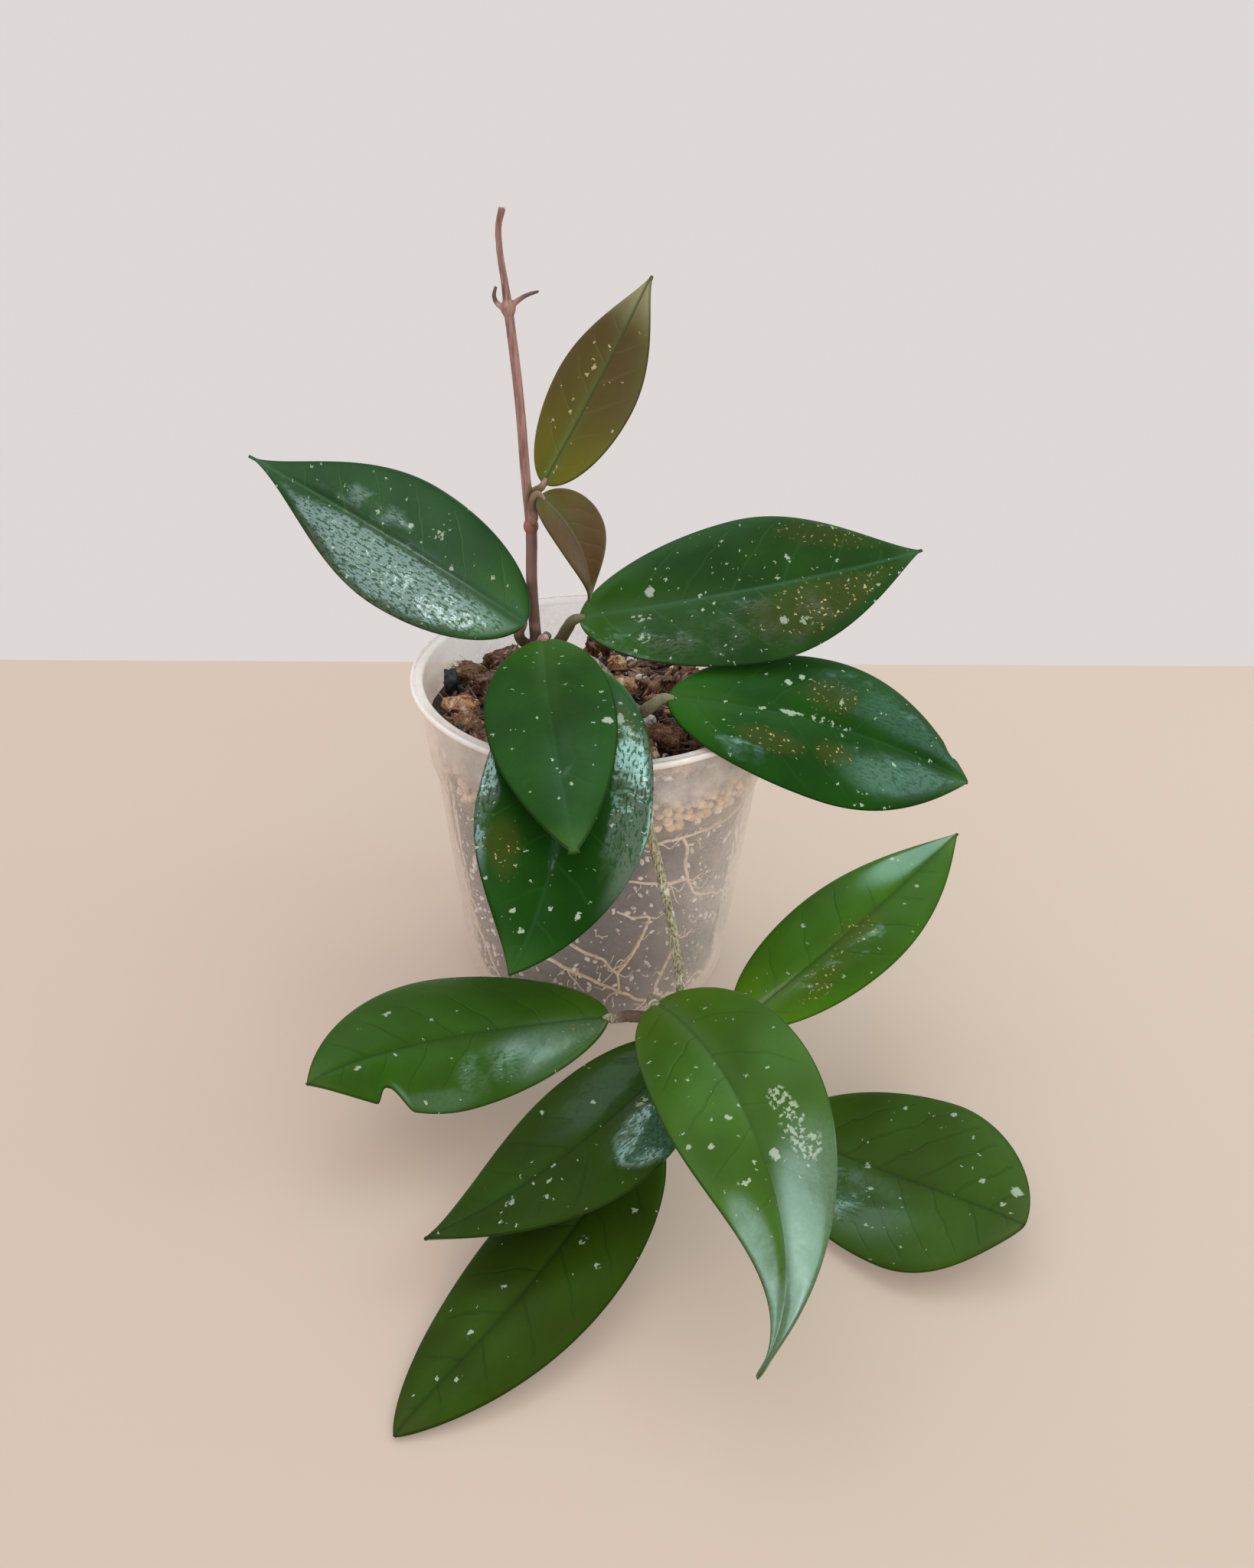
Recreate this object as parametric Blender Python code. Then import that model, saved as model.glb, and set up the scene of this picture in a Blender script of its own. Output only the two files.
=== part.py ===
"""Potted wax plant (hoya) in a clear 12 cm orchid pot.

Two stems grow from a chunky bark mix: one climbs and ends in a bare runner, the other trails over the front
rim and brings its leaves down to the surface that the pot stands on. Sizes below are in millimetres and
degrees. The origin is the centre of the pot's underside, +Z is up and -Y is the front.
"""

import math
import random
from dataclasses import dataclass

import bmesh
import bpy
from mathutils import Matrix, Vector, noise

MM = 0.001
SEAT_GAP = 0.3

# Pot: a thin clear wall in two tapers with a step between them, and a flat lip.
POT_HEIGHT = 110.0
POT_WALL = 1.1
POT_FLOOR = 1.6
BASE_RADIUS = 46.0
STEP_RADIUS = 53.4
STEP_HEIGHT = 79.0
# The step: how far out and up from it each of its points lies.
LEDGE = ((0, 0), (0.8, 1.2), (2.0, 5.0))
LEDGE_LIFT = 0.4
SHOULDER_RADIUS = 56.3
SHOULDER_HEIGHT = 94.0
NECK_RADIUS = 57.2
LIP_RADIUS = 60.0
LIP_DEPTH = 1.7
FOOT_BEVEL = 1.5
POT_SIDES = 48
DRAIN_RADIUS = 2.5
DRAIN_RINGS = ((8, 35.0), (4, 18.0))

# Potting mix: fills the pot, higher at the front and the left.
MIX_HEIGHT = 94.0
MIX_FALL_BACK = 0.07
MIX_FALL_RIGHT = 0.05
MIX_CLEARANCE = 0.9
# Its bumps: width, height and which layer of the noise they are read from.
MIX_BUMPS = ((13.0, 1.3, 0.5), (6.0, 0.65, 6.5))
MIX_SIDES = 36
MIX_RINGS = 5
HOLE_DEPTH = 18.0
HOLE_ROOM = 0.45

# Roots: pale threads between the wall and the mix.
ROOT_RADIUS = 0.65
ROOT_TURN = 7.0
ROOT_ROOM = 2 * (ROOT_RADIUS + SEAT_GAP) + 0.3

# Leaf blades.
BLADE_STEPS = 13
BLADE_LANES = 4
BASE_ROUNDNESS = 0.55
BLADE_END = 1.3
TIP_END = 0.5
MATURE_THICKNESS = 1.2
YOUNG_THICKNESS = 0.9
PETIOLE_END = 1.5
HOOK_POWER = 6

COLOURS = {
    "clear_plastic": ((0.78, 0.76, 0.74), 0.25, 0.35),
    "potting_mix": ((0.10, 0.06, 0.04), 0.9, 1.0),
    "bark": ((0.20, 0.09, 0.05), 0.85, 1.0),
    "husk": ((0.32, 0.17, 0.10), 0.9, 1.0),
    "charcoal": ((0.02, 0.02, 0.022), 0.8, 1.0),
    "pumice": ((0.62, 0.34, 0.15), 0.9, 1.0),
    "perlite": ((0.86, 0.84, 0.80), 0.9, 1.0),
    "root": ((0.58, 0.44, 0.31), 0.8, 1.0),
    "stem": ((0.20, 0.12, 0.10), 0.5, 1.0),
    "vine_bark": ((0.30, 0.28, 0.19), 0.7, 1.0),
    "leaf_green": ((0.02, 0.12, 0.03), 0.3, 1.0),
    "leaf_olive": ((0.17, 0.15, 0.03), 0.4, 1.0),
    "leaf_bronze": ((0.16, 0.08, 0.04), 0.4, 1.0),
}


@dataclass(frozen=True)
class Leaf:
    """One blade. heading turns from +X towards +Y, pitch is the rise of its midrib where it starts.

    droop and sweep are how far pitch and heading change along the blade, and hook turns the heading at the
    tip alone. roll and twist turn the blade about its midrib. fold raises both halves from the midrib, and
    cup lays them back down towards the edge. belly is where it is widest, and taper draws out the tip.
    """

    base: tuple
    heading: float
    pitch: float
    length: float
    width: float
    droop: float = 0.0
    sweep: float = 0.0
    hook: float = 0.0
    roll: float = 0.0
    twist: float = 0.0
    fold: float = 0.15
    cup: float = 0.15
    belly: float = 0.45
    taper: float = 1.3
    skew: float = 0.0
    colour: str = "leaf_green"
    thickness: float = MATURE_THICKNESS


LEAVES = {
    "leaf_upper_left": Leaf(
        (-23.4, 0, 125.6), 152, 20.5, 112, 43, droop=-4, sweep=2, hook=2, roll=-50, twist=-13, belly=0.43,
        taper=1.6,
    ),
    "leaf_upper_right": Leaf(
        (-6.6, 0, 128), -5, 13, 110, 50, droop=-4, sweep=20, hook=9, roll=27, twist=22, belly=0.48, taper=1.34
    ),
    "leaf_right": Leaf(
        (21.2, -29.7, 116.5), -8, 2, 97, 53, droop=-33, sweep=10, hook=3, roll=13, twist=21, belly=0.49,
        taper=1.0, skew=-0.04,
    ),
    "leaf_front_top": Leaf(
        (-17, -9, 124.5), -86, 3, 98, 37, droop=-20, sweep=10, hook=-4, roll=7, twist=-2, belly=0.44,
        taper=0.9,
    ),
    "leaf_front_hanging": Leaf(
        (-6, -15.5, 120), -86, 5, 114, 47, droop=-49, sweep=-16, hook=-29, roll=-5, twist=-3, belly=0.58,
        taper=1.0,
    ),
    "young_leaf_upright": Leaf(
        (-18, 10, 167.5), 25, 57, 67, 32, droop=4, sweep=3, hook=-5, roll=23, belly=0.45, taper=1.3,
        colour="leaf_olive", thickness=YOUNG_THICKNESS,
    ),
    "young_leaf_nodding": Leaf(
        (-19, 6.6, 164.8), -22, -30, 39, 26, droop=-68, sweep=6, hook=15, roll=15, twist=-19, fold=0.23,
        cup=0.07, belly=0.44, taper=1.4, skew=0.1, colour="leaf_bronze", thickness=YOUNG_THICKNESS,
    ),
    "leaf_low_left_notched": Leaf(
        (6.4, -78.3, 33.4), -183, -10, 93, 50, droop=20, sweep=41, hook=17, roll=2, twist=-23, fold=0.09,
        cup=0.25, belly=0.50, taper=1.07, skew=-0.07,
    ),
    "leaf_low_front_left": Leaf(
        (30, -96, 41), -137, -24, 90, 45, droop=16, sweep=-13, hook=-8, roll=2, twist=11, belly=0.41,
        taper=1.2,
    ),
    "leaf_low_front_arched": Leaf(
        (20, -85, 45.5), -63, 28, 121, 42, droop=-80, sweep=-12, hook=-74, roll=16, twist=6, fold=0.18,
        cup=0.11, belly=0.40, taper=1.85, skew=0.04,
    ),
    "leaf_low_right_round": Leaf(
        (58, -91.5, 3), -32, 2, 77, 59, droop=12, hook=-15, roll=7, twist=5, fold=0.17, cup=0.11, belly=0.59,
        taper=0.7,
    ),
    "leaf_low_right_raised": Leaf(
        (45, -81, 35), 40, 12, 107, 37, sweep=6, roll=2, twist=3, belly=0.44, taper=1.1, skew=0.04
    ),
    "leaf_low_resting": Leaf(
        (17.5, -103, 18.8), -114, -11, 107, 40, droop=3, sweep=-24, hook=13, roll=4, fold=0.12, cup=0.2,
        belly=0.45, taper=0.8,
    ),
}

# The rounded notch in one low leaf: where it lies along the blade, half its mouth and its depth.
NOTCH_ALONG = 0.755
NOTCH_HALF = 3.6
NOTCH_DEPTH = 6.6

# Stem routes: x, y, z and radius. Both stand upright where they go into the mix.
MAIN_STEM = (
    (-20, 8, MIX_HEIGHT - HOLE_DEPTH, 1.9),
    (-20, 8, 86, 1.9),
    (-20, 8, 96.5, 1.9),
    (-20.2, 8.5, 101.5, 1.9),
    (-20.7, 9.3, 106, 1.9),
    (-21.1, 10, 115, 1.95),
    (-22.1, 10, 135, 1.85),
    (-22, 10, 154, 1.8),
    (-23.1, 10, 166, 1.55),
    (-24.8, 10, 193, 1.45),
    (-27.3, 10, 218, 1.4),
    (-28, 10, 224, 1.1),
    (-29.3, 10, 234, 0.95),
    (-29.4, 10, 239, 0.9),
    (-28.2, 10, 244, 1.05),
)
TRAILING_VINE = (
    (5, 5, MIX_HEIGHT - HOLE_DEPTH, 1.6),
    (5, 5, 85, 1.6),
    (5, 5, 94.5, 1.6),
    (5, 3.4, 99.5, 1.6),
    (5.3, -2.6, 104.2, 1.6),
    (6, -11, 107.5, 1.6),
    (8, -26, 111, 1.5),
    (10, -44, 112.2, 1.4),
    (12.4, -58.5, 111.8, 1.4),
    (13.4, -62, 110.6, 1.4),
    (14.6, -64.8, 105, 1.4),
    (16.4, -66.5, 95.5, 1.4),
    (20.5, -69, 79, 1.4),
    (24.2, -73, 64, 1.4),
    (27.5, -79.5, 45, 1.4),
    (28, -83, 38, 1.4),
    (29.5, -87, 30, 1.4),
    (33, -91, 20, 1.4),
    (36, -93, 13, 1.4),
    (39, -95, 7.5, 1.3),
    (42, -98, 4, 1.2),
    (44, -102, 2.6, 1.1),
)
# Swellings where leaves grow: centre and radius.
SWELLING_STRETCH = 1.15
MAIN_NODES = (
    ((-20.7, 9.3, 106), 2.4),
    ((-21, 9.9, 112), 2.5),
    ((-22, 10, 154), 2.4),
    ((-27.3, 10, 218), 2.2),
)
VINE_NODES = (((6, -11, 107.5), 2.3), ((28, -83, 38), 2.3), ((29.5, -87, 30), 2.1), ((36, -93, 13), 2.2))

# Petioles: the stem point that each grows from, the points it passes, and its radius.
PETIOLE_GAP = 0.45
APPROACH = 1.5
UNDER_REACH = 2.2
FROM_BENEATH = ("leaf_upper_left",)
MAIN_PETIOLES = {
    "leaf_upper_left": ((-21, 10, 112), ((-24.6, 8.8, 114.6), (-26.2, 6.6, 118.6)), 1.8),
    "leaf_upper_right": ((-21, 10, 112), ((-16, 9, 113), (-13, 7, 117), (-10.6, 4, 122.4)), 2.0),
    "leaf_front_top": ((-20.7, 9.3, 106), ((-19.7, 4, 111.5), (-18.4, -2.5, 120)), 1.7),
    "young_leaf_upright": ((-22, 10, 154), ((-21.4, 12.2, 160), (-20.8, 11.4, 164.6)), 1.2),
    "young_leaf_nodding": ((-22, 10, 154), ((-20.6, 7, 158), (-21, 6.4, 163.5)), 1.2),
}
VINE_PETIOLES = {
    "leaf_right": ((6, -11, 107.5), ((12.7, -20, 106.5), (16, -28, 112.5)), 1.9),
    "leaf_front_hanging": ((6, -11, 107.5), ((2, -9, 113.5), (-3.4, -9.4, 118.4)), 1.7),
    "leaf_low_left_notched": ((28, -83, 38), ((19, -81.5, 37), (12, -79.6, 35.6)), 1.8),
    "leaf_low_right_raised": ((28, -83, 38), ((35, -84.5, 36.5), (40.5, -84, 34.8)), 1.8),
    "leaf_low_front_arched": ((28, -83, 38), ((23, -80, 40.5), (19.2, -80.6, 43.2)), 1.8),
    "leaf_low_front_left": ((29.5, -87, 30), ((33, -88.6, 36), (33.8, -91.6, 41)), 1.7),
    "leaf_low_resting": ((36, -93, 13), ((28, -94.5, 17), (21.4, -97.4, 19.4)), 1.7),
    "leaf_low_right_round": ((36, -93, 13), ((44, -90.6, 8.5), (51.5, -88.4, 3.8)), 1.6),
}
# Small shoots: points, and the radius at the first and the last.
MAIN_SHOOTS = (
    (((-27.3, 10, 218), (-29.4, 9.5, 218.6), (-31, 9, 220.9), (-30.5, 9, 224)), 1.0, 0.5),
    (((-27.3, 10, 218), (-25.3, 9.5, 219.6), (-22.2, 9, 221.7), (-18.5, 9, 223)), 1.0, 0.45),
    (((-21, 9.9, 112), (-18.8, 9.4, 115), (-17, 9, 118)), 1.2, 1.7),
)


@dataclass(frozen=True)
class Chunk:
    """One large piece on top of the mix: place, how far its centre stands above the mix, and full size."""

    kind: str
    place: tuple
    rise: float
    size: tuple
    turn: float = 0.0
    lean: float = 0.0


CHUNKS = {
    "charcoal_left": Chunk("charcoal", (-49.4, 9), 2.5, (4.4, 11, 9), turn=10),
    "husk_left": Chunk("husk", (-44.5, 19), 2.0, (10, 8.5, 8), turn=-30, lean=12),
    "bark_left": Chunk("bark", (-36.5, 10.5), 2.0, (11, 8, 7), turn=20, lean=-10),
    "pumice_left": Chunk("pumice", (-44.3, -4.8), 1.6, (14, 9, 8), turn=-14),
    "husk_low_left": Chunk("husk", (-40.6, -17.5), 1.2, (9, 8, 6), turn=40, lean=15),
    "bark_low_left": Chunk("bark", (-34, -28), 1.2, (12, 8, 5), turn=-35, lean=8),
    "bark_back_left": Chunk("bark", (-34, 34.5), 2.4, (15, 8, 6.5), turn=38, lean=-8),
    "bark_splinter": Chunk("bark", (-4, 43), 4.0, (4.5, 4, 15), turn=20, lean=24),
    "pumice_back": Chunk("pumice", (5, 38), 1.6, (8, 6.5, 6.5), turn=15),
    "perlite_back": Chunk("perlite", (10.2, 42.5), 1.0, (4, 3.6, 3.4), turn=35),
    "perlite_centre": Chunk("perlite", (13.6, 28.5), 1.0, (4.4, 3.6, 3.6), turn=10),
    "pumice_centre": Chunk("pumice", (8.4, 18.5), 1.6, (8.5, 8, 7), turn=60),
    "bark_centre": Chunk("bark", (19.5, 19.5), 1.8, (12, 9, 7), turn=25, lean=-14),
    "perlite_block": Chunk("perlite", (16.4, -7.5), 1.8, (5, 5, 7.6), turn=18, lean=12),
    "husk_right": Chunk("husk", (21.5, -18.5), 1.8, (11, 8, 7), turn=-18, lean=14),
    "charcoal_right": Chunk("charcoal", (32, -10), 1.4, (10, 8, 7), turn=50, lean=-10),
    "bark_right": Chunk("bark", (41, 6), 1.4, (13, 8, 6), turn=75, lean=10),
    "pumice_right": Chunk("pumice", (36.5, 23), 1.4, (11, 9, 7.5), turn=-25),
    "bark_front": Chunk("bark", (-12, -38), 1.2, (14, 8, 5), turn=-8, lean=-10),
    "pumice_front": Chunk("pumice", (26, -36), 1.4, (10, 8, 7), turn=30),
    "husk_back": Chunk("husk", (-18, 42), 1.4, (11, 7, 6), turn=-20, lean=10),
}
BLOCK_SIDE = 1.75
CHUNK_WAVE = 1.3
CHUNK_SEED_STEP = 7.3
POCKET_ROOM = 0.4
CHUNK_ROUGHNESS = {"charcoal": 0.16, "husk": 0.2, "bark": 0.2, "pumice": 0.26, "perlite": 0.18}

# Roots seen through the wall: degrees round from the front, and height.
FRONT_LOW_ROOTS = (
    ((-22, 28), (-12, 25), (-4, 22), (5, 17), (12, 14), (19, 9), (24, 7), (30, 7), (40, 5), (52, 9)),
    ((30, 7), (28, 12), (32, 23), (36, 33)),
    ((-14, 38), (-4, 33), (5, 29), (10, 22), (12, 14)),
    ((10, 22), (14, 27), (16, 30), (20, 39), (22, 46), (15, 47), (9, 50)),
)
FRONT_HIGH_ROOTS = (
    ((-26, 76), (-8, 76), (10, 76), (23, 76), (32, 76), (45, 75), (56, 74), (70, 75)),
    ((32, 76), (35, 70), (35, 64), (37, 57), (42, 49), (52, 45), (64, 39)),
    ((37, 57), (25, 59), (18, 61), (12, 63)),
)
# The rest of the way round they wander: seed, and degrees from the front where each web starts.
WANDERING_ROOTS = {
    "roots_left": (5, -84),
    "roots_back_left": (11, -150),
    "roots_back": (3, 160),
    "roots_right": (8, 96),
}
WANDER_TOP = 72.0
WANDER_STEPS = 7
WANDER_TURN = (2, 7)
WANDER_DROP = (6, 11)
SIDE_ROOTS = 3
SIDE_STEPS = 3
SIDE_TURN = (4, 7)
SIDE_DROP = (-1, 5)
LOWEST_ROOT = 6.0


def clear_scene():
    for item in list(bpy.data.objects):
        bpy.data.objects.remove(item, do_unlink=True)


def make_materials():
    made = {}
    for name, (colour, roughness, alpha) in COLOURS.items():
        material = bpy.data.materials.new(name)
        material.use_nodes = True
        surface = material.node_tree.nodes["Principled BSDF"]
        surface.inputs["Base Color"].default_value = (*colour, 1)
        surface.inputs["Roughness"].default_value = roughness
        surface.inputs["Alpha"].default_value = alpha
        made[name] = material
    return made


def add_object(name, mesh, material):
    item = bpy.data.objects.new(name, mesh)
    mesh.materials.clear()
    mesh.materials.append(material)
    bpy.context.scene.collection.objects.link(item)
    return item


def object_from(name, shape, material, smooth=True):
    """Turns a bmesh in millimetres into an object in metres."""
    bmesh.ops.scale(shape, vec=(MM, MM, MM), verts=shape.verts)
    mesh = bpy.data.meshes.new(name)
    shape.to_mesh(mesh)
    shape.free()
    if smooth:
        mesh.shade_smooth()
    return add_object(name, mesh, material)


def baked(item):
    """Replaces an object by a mesh object of what its modifiers or its curve give."""
    graph = bpy.context.evaluated_depsgraph_get()
    mesh = bpy.data.meshes.new_from_object(item.evaluated_get(graph))
    name, material = item.name, item.active_material
    bpy.data.objects.remove(item, do_unlink=True)
    return add_object(name, mesh, material)


def combine(first, others, operation):
    """A Boolean of the first object with all the others, which are removed."""
    for other in others:
        cut = first.modifiers.new(operation.title(), "BOOLEAN")
        cut.operation = operation
        cut.object = other
    result = baked(first)
    for other in others:
        bpy.data.objects.remove(other, do_unlink=True)
    return result


def turned(name, outline, sides, material):
    """Spins an outline of (radius, height) points about Z into a closed solid."""
    shape = bmesh.new()
    corners = [shape.verts.new((radius, 0, height)) for radius, height in outline]
    edges = [shape.edges.new(pair) for pair in zip(corners, corners[1:])]
    bmesh.ops.spin(
        shape,
        geom=corners + edges,
        cent=(0, 0, 0),
        axis=(0, 0, 1),
        angle=math.tau,
        steps=sides,
        use_merge=True,
    )
    bmesh.ops.remove_doubles(shape, verts=shape.verts, dist=0.001)
    bmesh.ops.recalc_face_normals(shape, faces=shape.faces)
    return object_from(name, shape, material)


def wall_inside(height):
    """Radius of the pot's inner wall below the step, at its corners."""
    return BASE_RADIUS + (STEP_RADIUS - BASE_RADIUS) * height / STEP_HEIGHT - POT_WALL


def upright_rod(name, foot, radius, height, sides, material):
    """A straight cylinder that stands on its foot, for a hole."""
    rod = bmesh.new()
    bmesh.ops.create_cone(rod, cap_ends=True, segments=sides, radius1=radius, radius2=radius, depth=height)
    x, y, z = foot
    bmesh.ops.translate(rod, vec=(x, y, z + height / 2), verts=rod.verts)
    return object_from(name, rod, material, smooth=False)


def make_pot(material):
    outside = [
        (0, 0),
        (BASE_RADIUS - FOOT_BEVEL, 0),
        (BASE_RADIUS, FOOT_BEVEL),
        *((STEP_RADIUS + out, STEP_HEIGHT + up) for out, up in LEDGE),
        (SHOULDER_RADIUS, SHOULDER_HEIGHT),
        (NECK_RADIUS, POT_HEIGHT - LIP_DEPTH),
        (LIP_RADIUS, POT_HEIGHT - LIP_DEPTH),
        (LIP_RADIUS, POT_HEIGHT),
    ]
    inside = [
        (NECK_RADIUS - POT_WALL, POT_HEIGHT),
        (NECK_RADIUS - POT_WALL, POT_HEIGHT - LIP_DEPTH),
        (SHOULDER_RADIUS - POT_WALL, SHOULDER_HEIGHT),
        *((STEP_RADIUS + out - POT_WALL, STEP_HEIGHT + up + LEDGE_LIFT) for out, up in reversed(LEDGE)),
        (wall_inside(POT_FLOOR), POT_FLOOR),
        (0, POT_FLOOR),
    ]
    pot = turned("pot", outside + inside, POT_SIDES, material)
    drains = []
    for count, ring in DRAIN_RINGS:
        for index in range(count):
            angle = math.tau * (index + 0.5) / count
            foot = (ring * math.cos(angle), ring * math.sin(angle), -POT_FLOOR)
            drains.append(upright_rod("drain", foot, DRAIN_RADIUS, 3 * POT_FLOOR, 10, material))
    return combine(pot, drains, "DIFFERENCE")


def mix_top(x, y):
    """Height of the mix at a place in the pot."""
    height = MIX_HEIGHT - MIX_FALL_BACK * y - MIX_FALL_RIGHT * x
    for width, rise, layer in MIX_BUMPS:
        height += rise * noise.noise(Vector((x / width, y / width, layer)))
    return height


def make_mix(material, pockets):
    out, up = LEDGE[-1]
    edge = SHOULDER_RADIUS - POT_WALL - MIX_CLEARANCE
    side = [
        (0, POT_FLOOR + SEAT_GAP),
        (wall_inside(POT_FLOOR) - ROOT_ROOM, POT_FLOOR + SEAT_GAP),
        (wall_inside(STEP_HEIGHT) - ROOT_ROOM, STEP_HEIGHT),
        (STEP_RADIUS + out - POT_WALL - MIX_CLEARANCE, STEP_HEIGHT + up),
    ]
    top = [(edge * ring / MIX_RINGS, MIX_HEIGHT) for ring in range(MIX_RINGS, -1, -1)]
    mix = turned("potting_mix", side + top, MIX_SIDES, material)
    for corner in mix.data.vertices:
        if corner.co.z > (MIX_HEIGHT - 1) * MM:
            corner.co.z = mix_top(corner.co.x / MM, corner.co.y / MM) * MM
    holes = []
    for route in (MAIN_STEM, TRAILING_VINE):
        x, y, height, radius = route[0]
        foot = (x, y, height - HOLE_ROOM)
        holes.append(upright_rod("stem hole", foot, radius + HOLE_ROOM, 2 * HOLE_DEPTH, 12, material))
    return combine(mix, holes + pockets, "DIFFERENCE")


def chunk_shape(chunk, seed, grow=0.0):
    """A rough lump in its place. grow makes it larger all round, which gives the pocket it sits in."""
    shape = bmesh.new()
    if chunk.kind in ("pumice", "perlite"):
        bmesh.ops.create_icosphere(shape, subdivisions=2, radius=1)
    else:
        bmesh.ops.create_cube(shape, size=BLOCK_SIDE)
        bmesh.ops.subdivide_edges(shape, edges=shape.edges, cuts=1, use_grid_fill=True)
        bmesh.ops.triangulate(shape, faces=shape.faces)
    roughness = CHUNK_ROUGHNESS[chunk.kind]
    for corner in shape.verts:
        wave = noise.noise(corner.co * CHUNK_WAVE + Vector((CHUNK_SEED_STEP * seed, 0, 0)))
        corner.co *= 1 + roughness * wave
    half = [side / 2 for side in chunk.size]
    bmesh.ops.scale(shape, vec=[side * (1 + grow / min(half)) for side in half], verts=shape.verts)
    x, y = chunk.place
    place = Matrix.Translation((x, y, mix_top(x, y) + chunk.rise))
    turn = Matrix.Rotation(math.radians(chunk.turn), 4, "Z")
    lean = Matrix.Rotation(math.radians(chunk.lean), 4, "X")
    bmesh.ops.transform(shape, matrix=place @ turn @ lean, verts=shape.verts)
    return shape


def make_chunks(materials):
    """The large pieces on top, and the pockets that the mix needs for them."""
    pockets = []
    for seed, (name, chunk) in enumerate(CHUNKS.items()):
        object_from(name, chunk_shape(chunk, seed), materials[chunk.kind], smooth=False)
        pocket = chunk_shape(chunk, seed, grow=POCKET_ROOM)
        pockets.append(object_from("pocket", pocket, materials[chunk.kind], smooth=False))
    return pockets


def make_tube(name, points, radii, material, sides=2, resolution=2):
    """A round stem through the points, thicker or thinner along its way."""
    curve = bpy.data.curves.new(name, "CURVE")
    curve.dimensions = "3D"
    curve.bevel_depth = MM
    curve.bevel_resolution = sides
    curve.resolution_u = resolution
    curve.use_fill_caps = True
    spline = curve.splines.new("BEZIER")
    spline.bezier_points.add(len(points) - 1)
    for knot, point, radius in zip(spline.bezier_points, points, radii):
        knot.co = Vector(point) * MM
        knot.radius = radius
        knot.handle_left_type = knot.handle_right_type = "AUTO"
    item = bpy.data.objects.new(name, curve)
    curve.materials.append(material)
    bpy.context.scene.collection.objects.link(item)
    return baked(item)


def directions(leaf, along):
    """The midrib's direction, the sideways one and the upward normal, part of the way along a blade."""
    heading = math.radians(leaf.heading + leaf.sweep * along + leaf.hook * along**HOOK_POWER)
    pitch = math.radians(leaf.pitch + leaf.droop * along)
    roll = math.radians(leaf.roll + leaf.twist * along)
    ahead = Vector((math.cos(heading), math.sin(heading), 0))
    level = Vector((-math.sin(heading), math.cos(heading), 0))
    forward = math.cos(pitch) * ahead + math.sin(pitch) * Vector((0, 0, 1))
    upright = forward.cross(level)
    side = math.cos(roll) * level + math.sin(roll) * upright
    return forward, side, forward.cross(side)


def midrib_point(leaf, along, steps=60):
    """Adds up short steps from the leaf's base."""
    place = Vector(leaf.base)
    for step in range(steps):
        forward, _, _ = directions(leaf, along * (step + 0.5) / steps)
        place += forward * leaf.length * along / steps
    return place


def half_width(leaf, along):
    if along < leaf.belly:
        share = (1 - (1 - along / leaf.belly) ** 2) ** BASE_ROUNDNESS
    else:
        share = (1 - ((along - leaf.belly) / (1 - leaf.belly)) ** 2) ** leaf.taper
    end = BLADE_END + (TIP_END - BLADE_END) * along
    return max(leaf.width / 2 * share, end)


def blade_point(leaf, along, across):
    """A point of the blade's middle surface. across runs from -1 to 1 over its width."""
    _, side, normal = directions(leaf, along)
    half = half_width(leaf, along)
    skew = 1 + leaf.skew * math.copysign(1, across)
    rise = half * (leaf.fold * abs(across) - leaf.cup * across**2)
    return midrib_point(leaf, along) + side * half * across * skew + normal * rise


def make_blade(name, leaf, material):
    shape = bmesh.new()
    bmesh.ops.create_grid(shape, x_segments=BLADE_STEPS, y_segments=BLADE_LANES, size=0.5)
    for corner in shape.verts:
        along = 0.5 - 0.5 * math.cos(math.pi * (corner.co.x + 0.5))
        corner.co = blade_point(leaf, along, 2 * corner.co.y)
    bmesh.ops.triangulate(shape, faces=shape.faces)
    blade = object_from(name, shape, material)
    wall = blade.modifiers.new("Thickness", "SOLIDIFY")
    wall.thickness = leaf.thickness * MM
    wall.offset = 0
    wall.use_even_offset = True
    return blade


def notch(blade, leaf):
    """Cuts the rounded notch out of a blade's edge, near its tip."""
    forward, side, normal = directions(leaf, NOTCH_ALONG)
    edge = blade_point(leaf, NOTCH_ALONG, 1)
    cutter = bmesh.new()
    bmesh.ops.create_cone(cutter, cap_ends=True, segments=14, radius1=1, radius2=1, depth=1)
    bmesh.ops.scale(cutter, vec=(NOTCH_HALF, NOTCH_DEPTH, 4 * NOTCH_DEPTH), verts=cutter.verts)
    turn = Matrix((forward, side, normal)).transposed().to_4x4()
    bmesh.ops.transform(cutter, matrix=Matrix.Translation(edge) @ turn, verts=cutter.verts)
    return combine(blade, [object_from("cutter", cutter, blade.active_material)], "DIFFERENCE")


def make_petiole(name, start, through, radius, material):
    """The stalk from a stem to just short of its blade, lined up with the midrib or coming from beneath."""
    leaf = LEAVES[name]
    forward, _, normal = directions(leaf, 0)
    if name in FROM_BENEATH:
        end = Vector(leaf.base) + UNDER_REACH * forward - (leaf.thickness / 2 + PETIOLE_GAP) * normal
        approach = normal
    else:
        end = Vector(leaf.base) - PETIOLE_GAP * forward
        approach = forward
    points = [start, *through, end - APPROACH * approach, end]
    radii = [radius] * (len(points) - 1) + [PETIOLE_END if radius > PETIOLE_END else radius]
    return make_tube("petiole", points, radii, material, sides=1, resolution=2)


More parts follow.
